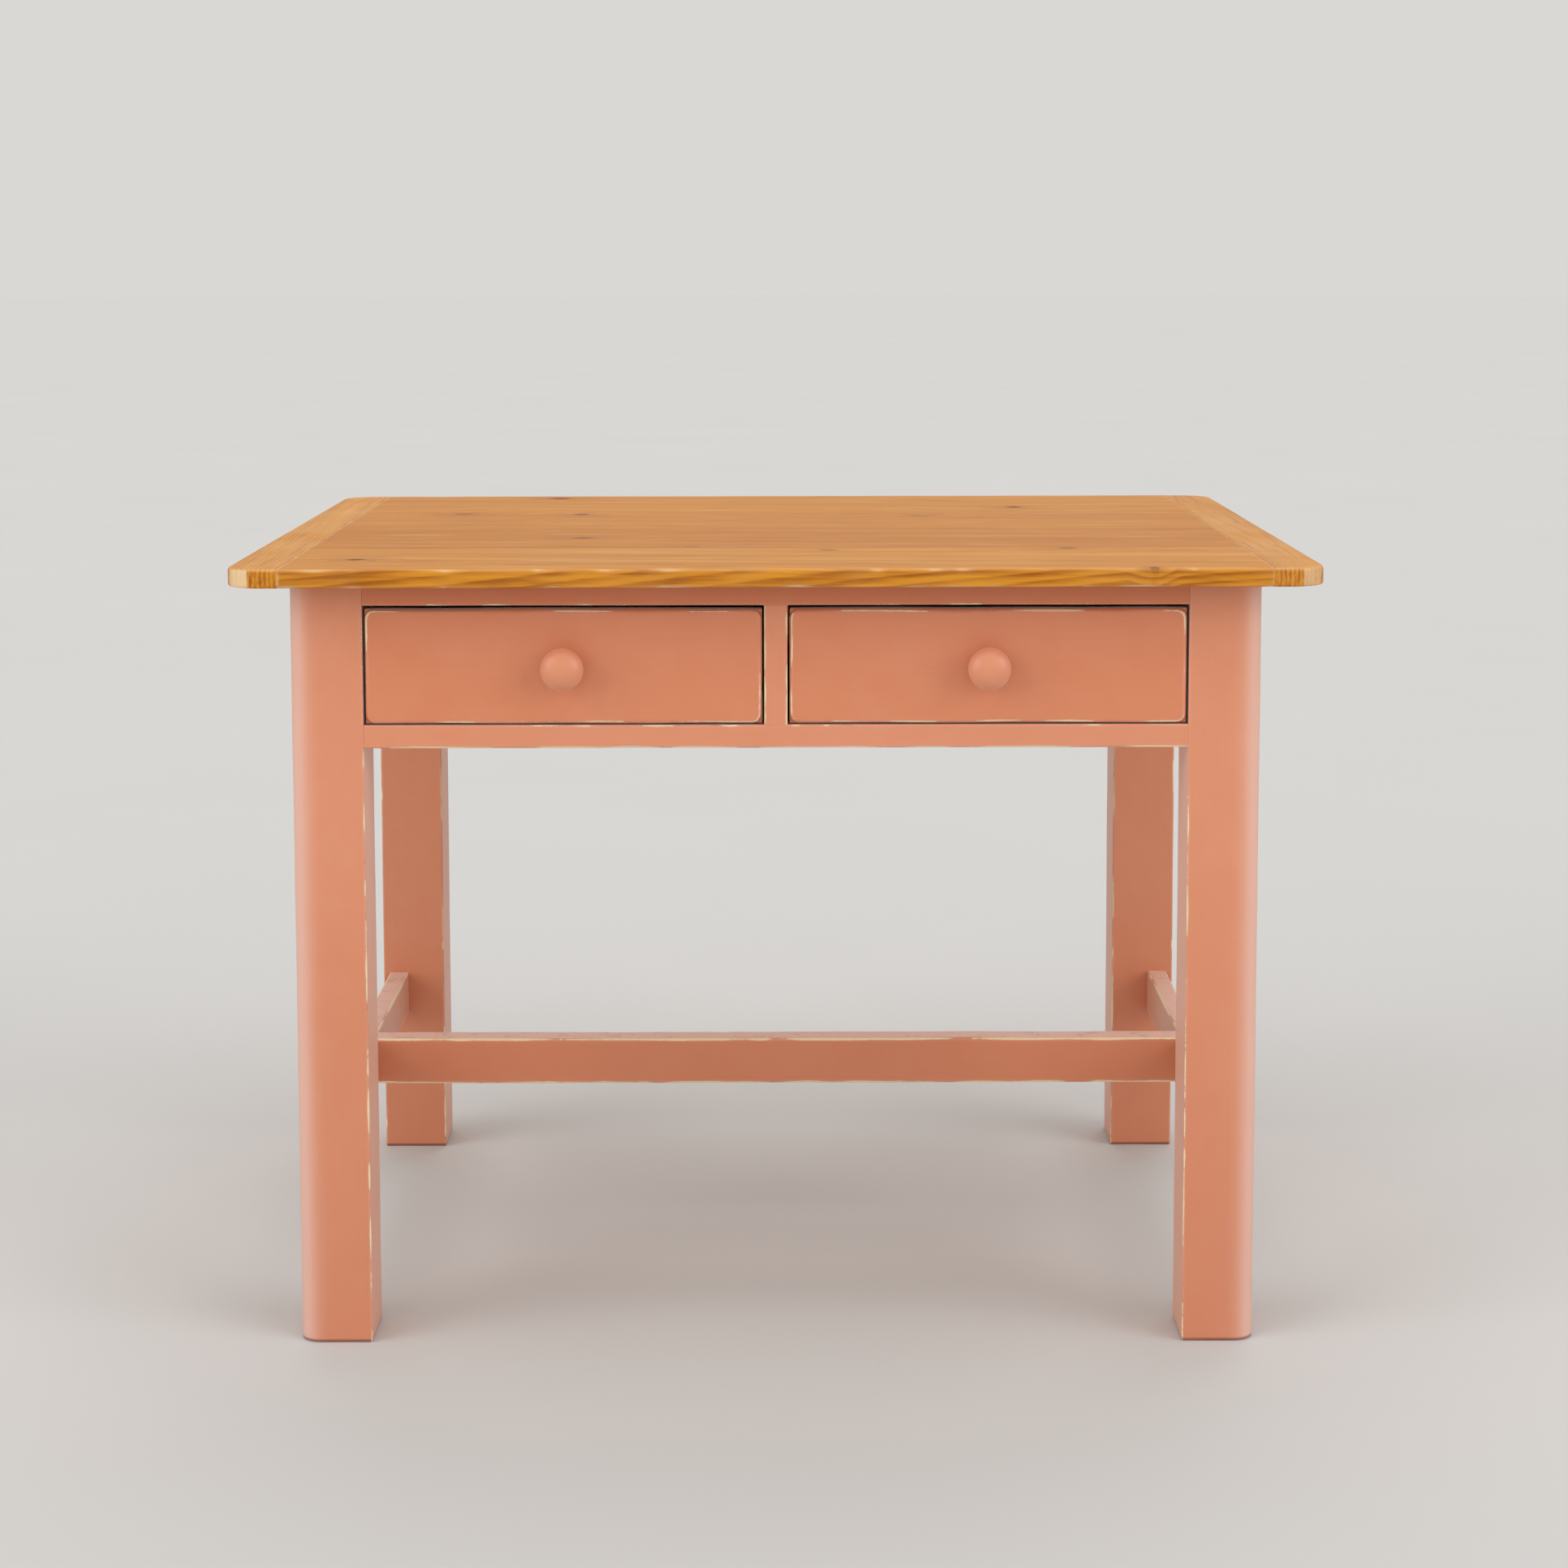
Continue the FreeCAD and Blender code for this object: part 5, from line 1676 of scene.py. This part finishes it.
@dataclass
class DrawerFront:
    """The front of a drawer: rounded over all round its face, with sockets for the dovetails."""

    side: str
    middle: float
    seed: int
    rubs: tuple[float, float, float, float]
    half_width: float = 186.25 * MM
    face: float = -357 * MM
    back: float = -337 * MM
    low: float = 598 * MM
    high: float = 706.5 * MM
    arris: float = 4.4 * MM
    turn: float = 9.0 * MM
    tail_ends: float = -352 * MM
    side_thickness: float = 12 * MM
    side_heights: Pair = (597.3 * MM, 702.5 * MM)
    pin: float = 8 * MM
    tails: int = 3
    slope: float = 1 / 7
    gap: float = 0.16 * MM
    past: float = 1 * MM
    panel: Pair = (605.3 * MM, 611.3 * MM)
    groove: float = 6 * MM
    tone: float = 0.42

    NEAR = (0.0, 0.25, 0.6, 1.0, 1.5, 2.1, 2.8, 3.6, 4.6, 6.0, 9.0, 14.0)
    SPACING = 7 * MM
    RADIUS_WAVE, RADIUS_SWING = 160 * MM, 0.22
    RUB_WAVE, RUB_SWING = 100 * MM, 0.34
    RUB_PLACE, RUB_WIDTH = 0.45, 1.1 * MM
    TRIM_WAVE, TRIM = 220 * MM, 0.5 * MM
    RINGS = ((-345.0, 0.0), (-338.2, 0.0), (-337.3, 0.2), (-337.0, 0.6), (-337.0, 1.6))
    RAW_FROM, BACK_RUB = 0.6, 0.5
    HEART_SHARE, HEART_OFF, HEART_HEIGHT = 0.2, -0.3, 0.55
    PLANK_STEP = 0.618
    SMOOTH_TO = 1.3

    def lines(self, low: float, high: float) -> np.ndarray:
        """Grid lines between two edges, close together near them.

        Args:
            low: The first edge.
            high: The last edge.

        Returns:
            Where the lines lie.
        """
        close = np.array(self.NEAR) * MM
        count = max(1, round((high - low - 2 * close[-1]) / self.SPACING))
        middle = np.linspace(low + close[-1], high - close[-1], count + 1)[1:-1]
        return np.concatenate([low + close, middle, (high - close)[::-1]])

    def drifts(self, kind: Draw, wave: float) -> list[Drift]:
        """A wander for each of the four edges: left, right, lower and upper."""
        return [Drift(kind.seed(self.seed, i), wave) for i in range(4)]

    def surface(self) -> tuple[np.ndarray, np.ndarray]:
        """The rounded face.

        Returns:
            The points of its grid, by column and row, and the rub of each.
        """
        low_x, high_x = self.middle - self.half_width, self.middle + self.half_width
        xs, zs = self.lines(low_x, high_x), self.lines(self.low, self.high)
        x, z = np.meshgrid(xs, zs, indexing="ij")
        reaches = [x - low_x, high_x - x, z - self.low, self.high - z]
        runs = [z, z, x, x]
        drifts = self.drifts(Draw.FRONT_RADIUS, self.RADIUS_WAVE)
        swings = [self.RADIUS_SWING * drift(run) for drift, run in zip(drifts, runs)]
        radii = [self.arris * (1 + swing) for swing in swings]
        drifts = self.drifts(Draw.FRONT_RUB, self.RUB_WAVE)
        swings = [self.RUB_SWING * drift(run) for drift, run in zip(drifts, runs)]
        rubs = [rub + swing for rub, swing in zip(self.rubs, swings)]
        drifts = self.drifts(Draw.FRONT_TRIM, self.TRIM_WAVE)
        trims = [drift.share(run) for drift, run in zip(drifts, runs)]
        nearest = np.argmin(reaches, 0)
        radius = np.choose(nearest, radii)
        short_x = np.clip(self.turn - np.minimum(reaches[0], reaches[1]), 0, None)
        short_z = np.clip(self.turn - np.minimum(reaches[2], reaches[3]), 0, None)
        by_corner = self.turn - np.hypot(short_x, short_z)
        reach = np.where((short_x > 0) & (short_z > 0), by_corner, np.min(reaches, 0))
        line = np.exp(-(((reach - self.RUB_PLACE * radius) / self.RUB_WIDTH) ** 2))
        near = np.clip(1 - reach / radius, 0, 1)
        depth = self.arris * (1 - np.sqrt(1 - near**2))
        share_x = np.clip((x - low_x) / (high_x - low_x), 0, 1)
        share_z = np.clip((z - self.low) / (self.high - self.low), 0, 1)
        x = x + self.TRIM * (trims[0] * (1 - share_x) - trims[1] * share_x)
        z = z + self.TRIM * (trims[2] * (1 - share_z) - trims[3] * share_z)
        return np.stack([x, self.face + depth, z], -1), np.choose(nearest, rubs) * line

    def block(self) -> bpy.types.Object:
        """Makes the front before its sockets are cut.

        Returns:
            The block.
        """
        grid, rub = self.surface()
        columns, rows = grid.shape[:2]
        points = [tuple(point) for point in grid.reshape(-1, 3)]
        rubs = list(rub.ravel())
        faces = []
        for column in range(columns - 1):
            for row in range(rows - 1):
                a = column * rows + row
                faces.append((a, a + rows, a + rows + 1, a + 1))
        last = [i * rows for i in range(columns)]
        last += [(columns - 1) * rows + j for j in range(1, rows)]
        last += [i * rows + rows - 1 for i in range(columns - 2, -1, -1)]
        last += list(range(rows - 2, 0, -1))
        edge = [points[i] for i in last]
        raw = [0.0] * len(points)
        middle_z = (self.low + self.high) / 2
        for level, inset in self.RINGS:
            ring = range(len(points), len(points) + len(edge))
            for x, _, z in edge:
                off_x, off_z = x - self.middle, z - middle_z
                shrink_x, shrink_z = np.sign(off_x) * inset * MM, np.sign(off_z) * inset * MM
                x = x - shrink_x if abs(off_x) > inset * MM else x
                points.append((x, level * MM, z - shrink_z))
                rubs.append(self.BACK_RUB if 0 < inset < 1 else 0.0)
                raw.append(float(inset >= self.RAW_FROM))
            for k, index in enumerate(last):
                after = (k + 1) % len(last)
                faces.append((index, last[after], ring[after], ring[k]))
            last = ring
        faces.append(tuple(last))
        across = self.middle * self.HEART_SHARE + self.HEART_OFF
        heart = [across, self.HEART_HEIGHT, (self.seed * self.PLANK_STEP) % 1.0]
        values = {
            "wear": np.array(rubs),
            "raw": np.array(raw),
            "heart": np.tile(heart, (len(points), 1)),
            "tone": np.full(len(points), self.tone),
        }
        return add_mesh("face_of_drawer_" + self.side, np.array(points), faces, values)

    def cutters(self) -> bpy.types.Object:
        """Makes the sockets of the dovetails and the groove of the panel as one cutting mesh.

        Returns:
            The mesh.
        """
        pitch = (self.side_heights[1] - self.side_heights[0]) / self.tails
        wide = (pitch - self.pin) / 2 + self.gap
        narrow = wide - (self.back - self.tail_ends + self.past) * self.slope
        open_end, far_end = self.back + self.past, self.tail_ends - self.gap
        inner = self.half_width - self.side_thickness - self.gap
        outer = self.half_width + self.past
        shapes = []
        for i in range(self.tails):
            height = self.side_heights[0] + pitch * (i + 0.5)
            outline = [
                (open_end, height - narrow),
                (open_end, height + narrow),
                (far_end, height + wide),
                (far_end, height - wide),
            ]
            shapes.append((outline, self.middle - outer, self.middle - inner))
            shapes.append((outline, self.middle + inner, self.middle + outer))
        low, high = self.panel[0] - self.gap, self.panel[1] + self.gap
        slot_end = self.back - self.groove
        slot = [(slot_end, low), (open_end, low), (open_end, high), (slot_end, high)]
        reach = inner - self.past
        shapes.append((slot, self.middle - reach, self.middle + reach))
        tool = add_mesh("socket_cutter", *prisms(shapes), smooth=False)
        tidy_faces(tool.data)
        return tool

    def build(self, body: Body) -> None:
        """Makes the front and cuts its sockets.

        Args:
            body: The drawer that it belongs to.
        """
        made = self.block()
        tool = self.cutters()
        cut = made.modifiers.new("sockets", "BOOLEAN")
        cut.operation, cut.solver, cut.object = "DIFFERENCE", "EXACT", tool
        baked(made)
        bpy.data.objects.remove(tool)
        rounded_to = self.face + self.arris * self.SMOOTH_TO
        for face in made.data.polygons:
            face.use_smooth = max(made.data.vertices[i].co.y for i in face.vertices) < rounded_to
        settle(made, body, Coat.PAINT, Axis.X, ("drawer_%s_front" % self.side,))


# ---- Pieces that follow a rule --------------------------------------------------------------


class Rule(Graph):
    """A Geometry Nodes tree with named inputs that puts one kind of piece at given places."""

    def __init__(self, name: str, inputs: dict[str, float | int]) -> None:
        """Makes the tree and its inputs.

        Args:
            name: The tree's name.
            inputs: Its sizes by name. A whole number makes a whole-number input.
        """
        super().__init__(bpy.data.node_groups.new(name, "GeometryNodeTree"))
        face = self.tree.interface
        face.new_socket(name="Places", in_out="INPUT", socket_type="NodeSocketGeometry")
        self.keys: dict[str, str] = {}
        for key, value in inputs.items():
            kind = "NodeSocketInt" if isinstance(value, int) else "NodeSocketFloat"
            item = face.new_socket(name=key, in_out="INPUT", socket_type=kind)
            item.default_value = value
            self.keys[key] = item.identifier
        face.new_socket(name="Geometry", in_out="OUTPUT", socket_type="NodeSocketGeometry")
        self.given = self.node("NodeGroupInput")

    def size(self, name: str) -> Socket:
        """One of the tree's inputs."""
        return Socket(self, self.given.outputs[name])

    def joined(self, parts: list[Socket], gap: float) -> Socket:
        """Several meshes as one, with the corners merged that meet.

        Args:
            parts: The meshes.
            gap: How near corners are that merge.

        Returns:
            The mesh.
        """
        both = self.node("GeometryNodeJoinGeometry")
        for part in parts:
            self.tree.links.new(part.end, both.inputs[0])
        values = {"Geometry": Socket(self, both.outputs[0]), "Distance": gap}
        return self.out("GeometryNodeMergeByDistance", None, values)

    def disc(self, sides: Socket, radius: Socket) -> Socket:
        """A filled circle on the origin."""
        values = {"Vertices": sides, "Radius": radius}
        return self.out("GeometryNodeMeshCircle", {"fill_type": "NGON"}, values)

    def close(self, piece: Socket, rotation: Socket | Point, dress: bpy.types.Material) -> None:
        """Ends the tree: the piece at every place, as real geometry with its material.

        Args:
            piece: The piece.
            rotation: How it is turned.
            dress: Its material.
        """
        values = {"Points": self.size("Places"), "Instance": piece, "Rotation": rotation}
        made = self.out("GeometryNodeInstanceOnPoints", None, values)
        real = self.out("GeometryNodeRealizeInstances", None, {"Geometry": made})
        values = {"Geometry": real, "Material": dress}
        dressed = self.out("GeometryNodeSetMaterial", None, values)
        self.node("NodeGroupOutput", None, {"Geometry": dressed})

    def apply(
        self,
        name: str,
        places: list[Point],
        sizes: dict[str, float | int] | None = None,
        flip: float = 0.0,
    ) -> bpy.types.Object:
        """Runs the tree and keeps the result as a plain mesh.

        Args:
            name: The new object's name.
            places: Where its copies go.
            sizes: The values of its inputs.
            flip: How far every copy is turned about X, in radians.

        Returns:
            The object.
        """
        mesh = bpy.data.meshes.new(name)
        mesh.from_pydata(places, [], [])
        turns = mesh.attributes.new("flip", "FLOAT", "POINT")
        turns.data.foreach_set("value", [flip] * len(places))
        made = in_scene(name, mesh)
        modifier = made.modifiers.new("rule", "NODES")
        modifier.node_group = self.tree
        for key, value in (sizes or {}).items():
            modifier[self.keys[key]] = value
        baked(made)
        tidy_faces(made.data)
        return made


class ScrewRule(Rule):
    """Screws or nails at a set of places, with their tips along +Z before they are turned."""

    SIZES = {
        "Head Radius": 4 * MM,
        "Head Height": 2 * MM,
        "Shank Radius": 2 * MM,
        "Length": 30 * MM,
        "Tip": 4 * MM,
        "Slot Width": 1.0 * MM,
        "Slot Depth": 1.2 * MM,
        "Sides": 20,
        "Seed": 7,
    }
    MERGE = 0.004 * MM
    SLOT_REACH = 3.0

    def __init__(self, name: str, sunk: bool, slotted: bool) -> None:
        """Builds the tree.

        Args:
            name: The tree's name.
            sunk: Whether the head tapers into the shank.
            slotted: Whether the head has a slot.
        """
        super().__init__(name, self.SIZES)
        head, shank, tall = [
            self.size(key) for key in ("Head Radius", "Shank Radius", "Head Height")
        ]
        body = self.size("Length") - tall - self.size("Tip")
        parts = [
            self.disc(self.size("Sides"), head),
            self.cone(head, shank if sunk else head, tall),
            self.cone(shank, shank, body, tall),
            self.cone(shank, 0.0, self.size("Tip"), tall + body),
        ]
        if not sunk:
            parts.append(self.cone(head, shank, 0.0, tall))
        whole = self.joined(parts, self.MERGE)
        if slotted:
            whole = self.slotted(whole, head)
        flip = self.out(
            "GeometryNodeInputNamedAttribute", {"data_type": "FLOAT"}, {"Name": "flip"}
        )
        values = {2: 0.0, 3: math.pi, "Seed": self.size("Seed")}
        spin = self.out("FunctionNodeRandomValue", {"data_type": "FLOAT"}, values, 1)
        self.close(whole, self.vector(flip, 0.0, spin), FINISHES.get(Coat.STEEL))

    def cone(self, low: Number, high: Number, depth: Number, start: Number = 0.0) -> Socket:
        """An open length of the screw.

        Args:
            low: Its radius where it starts.
            high: Its radius where it ends.
            depth: Its length.
            start: Where it starts.

        Returns:
            The mesh.
        """
        values = {
            "Vertices": self.size("Sides"),
            "Radius Top": high,
            "Radius Bottom": low,
            "Depth": depth,
        }
        made = self.out("GeometryNodeMeshCone", {"fill_type": "NONE"}, values)
        values = {"Geometry": made, "Translation": self.vector(0.0, 0.0, start)}
        return self.out("GeometryNodeTransform", None, values)

    def slotted(self, whole: Socket, head: Socket) -> Socket:
        """Cuts a slot across the head.

        Args:
            whole: The screw.
            head: The radius of its head.

        Returns:
            The screw with its slot.
        """
        deep = self.size("Slot Depth") * 2.0
        size = self.vector(head * self.SLOT_REACH, self.size("Slot Width"), deep)
        cutter = self.out("GeometryNodeMeshCube", None, {"Size": size})
        settings = {"operation": "DIFFERENCE", "solver": "EXACT"}
        values = {"Mesh 1": whole, "Mesh 2": cutter}
        return self.out("GeometryNodeMeshBoolean", settings, values)


class KnobRule(Rule):
    """A turned knob whose head is two half ovals and whose neck is a wave, pointing along -Y."""

    SIZES = {
        "Foot Radius": 10 * MM,
        "Neck Radius": 8 * MM,
        "Shoulder Radius": 10.5 * MM,
        "Shoulder Height": 9.5 * MM,
        "Head Radius": 20 * MM,
        "Rim Height": 20 * MM,
        "Length": 33 * MM,
        "Round": 72,
        "Up": 56,
    }
    NECK_SHARE = 0.3
    MERGE = 0.03 * MM

    def __init__(self) -> None:
        """Builds the tree."""
        super().__init__("turned_knob", self.SIZES)
        around = self.size("Round")
        foot, head, rim = [self.size(key) for key in ("Foot Radius", "Head Radius", "Rim Height")]
        neck, shoulder, shoulder_height = [
            self.size(key) for key in ("Neck Radius", "Shoulder Radius", "Shoulder Height")
        ]
        values = {
            "Size X": 1.0,
            "Size Y": 1.0,
            "Vertices X": around + 1,
            "Vertices Y": self.size("Up"),
        }
        grid = self.out("GeometryNodeMeshGrid", None, values)
        sideways, upward, _ = self.parts(self.out("GeometryNodeInputPosition"))
        turn, up = (sideways + 0.5) * (2 * math.pi), upward + 0.5
        in_head = up.above(self.NECK_SHARE)
        low = (up / self.NECK_SHARE).least(1.0)
        wave = ((low * (2 * math.pi)).cosine() + 1.0) * 0.5
        neck_radius = neck + (foot - neck) * wave + (shoulder - foot) * low * wave
        angle = ((up - self.NECK_SHARE) / (1.0 - self.NECK_SHARE)).most(0.0)
        angle = (angle - 0.5) * math.pi
        over = angle.above(0.0)
        under = 1.0 - over
        under_radius = shoulder + (head - shoulder) * angle.cosine()
        head_radius = head * angle.cosine() * over + under_radius * under
        rise = (self.size("Length") - rim) * over + (rim - shoulder_height) * under
        in_neck = 1.0 - in_head
        radius = head_radius * in_head + neck_radius * in_neck
        height = (rim + rise * angle.sine()) * in_head + low * shoulder_height * in_neck
        place = self.vector(radius * turn.cosine(), radius * turn.sine(), height)
        values = {"Geometry": grid, "Position": place}
        shell = self.out("GeometryNodeSetPosition", None, values)
        whole = self.joined([shell, self.disc(around, foot)], self.MERGE)
        smooth = self.out("GeometryNodeSetShadeSmooth", None, {"Geometry": whole})
        self.close(smooth, (math.pi / 2, 0.0, 0.0), FINISHES.get(Coat.PAINT, Axis.Y))


@dataclass
class Fasteners:
    """The screws that go up into the top, and those that hold the drawer guides."""

    top_seat: float = 714 * MM
    kicker_x: float = 396.5 * MM
    kicker_rows: Point = (-175 * MM, 34.333 * MM, 243.667 * MM)
    rail_x: float = 180 * MM
    rail_y: float = -332 * MM
    button_x: Pair = (141.667 * MM, 253.333 * MM)
    button_y: float = 311 * MM
    guide_x: float = 407.5 * MM
    guide_rows: Point = (-200 * MM, 0.0, 200 * MM)
    guide_seat: float = 617 * MM
    guide_seed: int = 19

    def top_places(self) -> list[Point]:
        """Where the screws go up into the top.

        Returns:
            The seats of their heads.
        """
        spots = [(way * self.rail_x, self.rail_y) for way in (-1, 1)]
        spots += [(way * x, self.button_y) for way in (-1, 1) for x in self.button_x]
        spots += [(x, y) for x in (-self.kicker_x, 0.0, self.kicker_x) for y in self.kicker_rows]
        return [(x, y, self.top_seat) for x, y in spots]

    def guide_places(self) -> list[Point]:
        """Where the screws go down through the drawer guides."""
        rows = [(x, y) for x in (-self.guide_x, 0.0, self.guide_x) for y in self.guide_rows]
        return [(x, y, self.guide_seat) for x, y in rows]

    def build(self) -> None:
        """Makes both sets of screws."""
        rule = ScrewRule("slotted_wood_screw", sunk=True, slotted=True)
        made = rule.apply("screws_into_top", self.top_places())
        settle(made, Body.TABLE, Coat.STEEL, Axis.Z, ("top_screws",))
        sizes = {"Seed": self.guide_seed}
        made = rule.apply("screws_in_guides", self.guide_places(), sizes, math.pi)
        settle(made, Body.TABLE, Coat.STEEL, Axis.Z, ("guide_screws",))


@dataclass
class Drawer:
    """One drawer: its worn front, its turned knob and the fasteners that hold them."""

    side: str
    body: Body
    middle: float
    seed: int
    rubs: tuple[float, float, float, float]
    knob_height: float = 652.25 * MM
    face: float = -357 * MM
    screw_seat: float = -337 * MM
    screw_head: float = 2.5 * MM
    screw_length: float = 37.5 * MM
    nail_row: float = 237 * MM
    nail_seat: float = 605.3 * MM
    nail_spread: float = 120 * MM

    NAIL = {
        "Head Radius": 2.25 * MM,
        "Head Height": 1.0 * MM,
        "Shank Radius": 1.0 * MM,
        "Length": 22 * MM,
        "Tip": 2.5 * MM,
        "Sides": 14,
    }

    def build(self, knobs: KnobRule, nails: ScrewRule, screws: ScrewRule) -> None:
        """Makes the pieces of the drawer that are dressed anew.

        Args:
            knobs: The rule of the knob.
            nails: The rule of the nails.
            screws: The rule of the screw in the knob.
        """
        DrawerFront(self.side, self.middle, self.seed, self.rubs).build(self.body)
        where = (self.middle, self.face, self.knob_height)
        knob = knobs.apply("pull_of_drawer_" + self.side, [where])
        settle(knob, self.body, Coat.PAINT, Axis.Y, ("drawer_%s_knob" % self.side,))
        where = (self.middle, self.screw_seat + self.screw_head, self.knob_height)
        sizes = {"Head Height": self.screw_head, "Length": self.screw_length}
        screw = screws.apply("pull_screw_" + self.side, [where], sizes, math.pi / 2)
        settle(screw, self.body, Coat.STEEL, Axis.Z, ("drawer_%s_knob_screw" % self.side,))
        offs = (-self.nail_spread, 0.0, self.nail_spread)
        row = [(self.middle + off, self.nail_row, self.nail_seat) for off in offs]
        pins = nails.apply("panel_nails_" + self.side, row, self.NAIL)
        settle(pins, self.body, Coat.STEEL, Axis.Z, ("drawer_%s_bottom_nails" % self.side,))


@dataclass
class InnerPieces:
    """The pieces inside the table, which keep their own meshes and get a better finish."""

    works: tuple[str, ...] = ("guide", "kicker", "runner")
    columns: tuple[str, ...] = ("left", "middle", "right")
    drawers: tuple[str, ...] = ("drawer_left", "drawer_right")
    panels: tuple[str, ...] = ("side_left", "side_right", "bottom")

    def build(self) -> None:
        """Gives each node the bare pine with its grain the right way."""
        across = ["drawer_stops"] + [drawer + "_back" for drawer in self.drawers]
        names = [f"{work}_{column}" for work in self.works for column in self.columns]
        names += [f"{drawer}_{panel}" for drawer in self.drawers for panel in self.panels]
        for name in across + names + ["top_buttons"]:
            along = Axis.X if name in across else Axis.Y
            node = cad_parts[name]
            node.data.materials.clear()
            node.data.materials.append(FINISHES.get(Coat.BARE, along))
            LOG.info("%s: kept, in bare pine", name)


# ---- Room, light and camera -----------------------------------------------------------------


@dataclass(frozen=True)
class Lamp:
    """One soft light from far away: where it comes from, its strength, degrees and colour."""

    name: str
    source: Point
    strength: float
    width: float
    colour: Point = (1.0, 0.97, 0.96)

    def build(self) -> None:
        """Puts the light into the scene."""
        data = bpy.data.lights.new(self.name, "SUN")
        data.energy, data.angle, data.color = self.strength, math.radians(self.width), self.colour
        made = in_scene(self.name, data)
        made.rotation_mode = "QUATERNION"
        made.rotation_quaternion = Vector(self.source).to_track_quat("Z", "Y")


WHITE = (1.0, 0.985, 0.96)


@dataclass
class Studio:
    """A plain pale floor, soft light and the camera, a little above the top and far in front."""

    floor_colour: Colour = srgb(209, 209, 208)
    floor_tint: Colour = srgb(205, 205, 204)
    floor_waves: Waves = Waves(1.4, 3.0)
    floor_roughness: float = 0.9
    floor_reach: float = 60.0
    floor_sides: int = 96
    backdrop: Colour = srgb(217, 216, 213)
    sky: float = 0.40
    sky_colour: Colour = (1.0, 0.99, 0.97, 1.0)
    lamps: tuple[Lamp, ...] = (
        Lamp("front", (-0.05, -1.0, 0.35), 0.30, 50, WHITE),
        Lamp("ceiling", (0.0, -0.25, 1.0), 0.76, 60, WHITE),
        Lamp("left_window", (-1.0, -0.60, 0.45), 1.13, 44),
        Lamp("right_window", (1.0, -0.60, 0.45), 1.13, 44),
        Lamp("behind", (0.1, 1.0, 1.20), 0.75, 50),
    )
    camera_place: Point = (0.0079, -3.2075, 1.0460)
    pitch: float = 5.67
    roll: float = -0.107
    lens: float = 70.50
    film: float = 36.0
    shift: float = -0.15
    seen: Pair = (0.05, 200.0)

    def floor(self) -> None:
        """Lays a wide round floor."""
        reach = self.floor_reach
        turns = np.linspace(0, 2 * math.pi, self.floor_sides + 1)[:-1]
        ring = [(reach * math.cos(turn), reach * math.sin(turn), 0.0) for turn in turns]
        mesh = bpy.data.meshes.new("floor")
        mesh.from_pydata(ring, [], [tuple(range(len(ring)))])
        made = in_scene("floor", mesh)
        shader = Shader("plain_floor")
        tone = shader.noise(shader.place(), self.floor_waves)
        colour = shader.blend(tone, self.floor_colour, self.floor_tint)
        shader.finish(colour, self.floor_roughness, None, Specular_IOR_Level=0.0)
        mesh.materials.append(shader.material)

    def world(self) -> None:
        """Makes it pale all round, with a gentle light on the object."""
        world = bpy.data.worlds.new("pale_room")
        bpy.context.scene.world = world
        world.use_nodes = True
        graph = Graph(world.node_tree)
        seen = graph.out("ShaderNodeLightPath", end="Is Camera Ray")
        light, pale = [
            graph.out("ShaderNodeBackground", None, {"Color": colour, "Strength": strength})
            for colour, strength in ((self.sky_colour, self.sky), (self.backdrop, 1.0))
        ]
        mix = graph.out("ShaderNodeMixShader", None, {0: seen, 1: light, 2: pale})
        graph.node("ShaderNodeOutputWorld", None, {"Surface": mix})

    def camera(self) -> None:
        """Sets the camera up."""
        data = bpy.data.cameras.new("camera")
        data.lens, data.sensor_width, data.shift_y = self.lens, self.film, self.shift
        data.clip_start, data.clip_end = self.seen
        pitch, roll = math.radians(self.pitch), math.radians(self.roll)
        ahead = Vector((0.0, math.cos(pitch), -math.sin(pitch)))
        level = Vector((1.0, 0.0, 0.0))
        upright = level.cross(ahead)
        right = level * math.cos(roll) + upright * math.sin(roll)
        up = upright * math.cos(roll) - level * math.sin(roll)
        turn = Matrix((right, up, -ahead)).transposed()
        made = in_scene("camera", data)
        made.matrix_world = Matrix.Translation(self.camera_place) @ turn.to_4x4()
        bpy.context.scene.camera = made

    def build(self) -> None:
        """Sets the whole studio up."""
        self.floor()
        self.world()
        for lamp in self.lamps:
            lamp.build()
        self.camera()
        bpy.context.scene.view_settings.view_transform = "Standard"
        LOG.info("studio ready")


def main() -> None:
    """Builds every sub-assembly in order."""
    logging.basicConfig(level=logging.INFO, format="%(message)s")
    Studio().build()
    TableTop().build()
    Legs().build()
    Frame().build()
    Fasteners().build()
    knobs = KnobRule()
    nails = ScrewRule("flat_headed_nail", sunk=False, slotted=False)
    screws = ScrewRule("slotted_pull_screw", sunk=False, slotted=True)
    for drawer in (
        Drawer("left", Body.LEFT_DRAWER, -199 * MM, 401, (0.52, 0.44, 0.54, 0.42)),
        Drawer("right", Body.RIGHT_DRAWER, 199 * MM, 407, (0.66, 0.56, 0.62, 0.50)),
    ):
        drawer.build(knobs, nails, screws)
    InnerPieces().build()


if __name__ == "__main__":
    main()
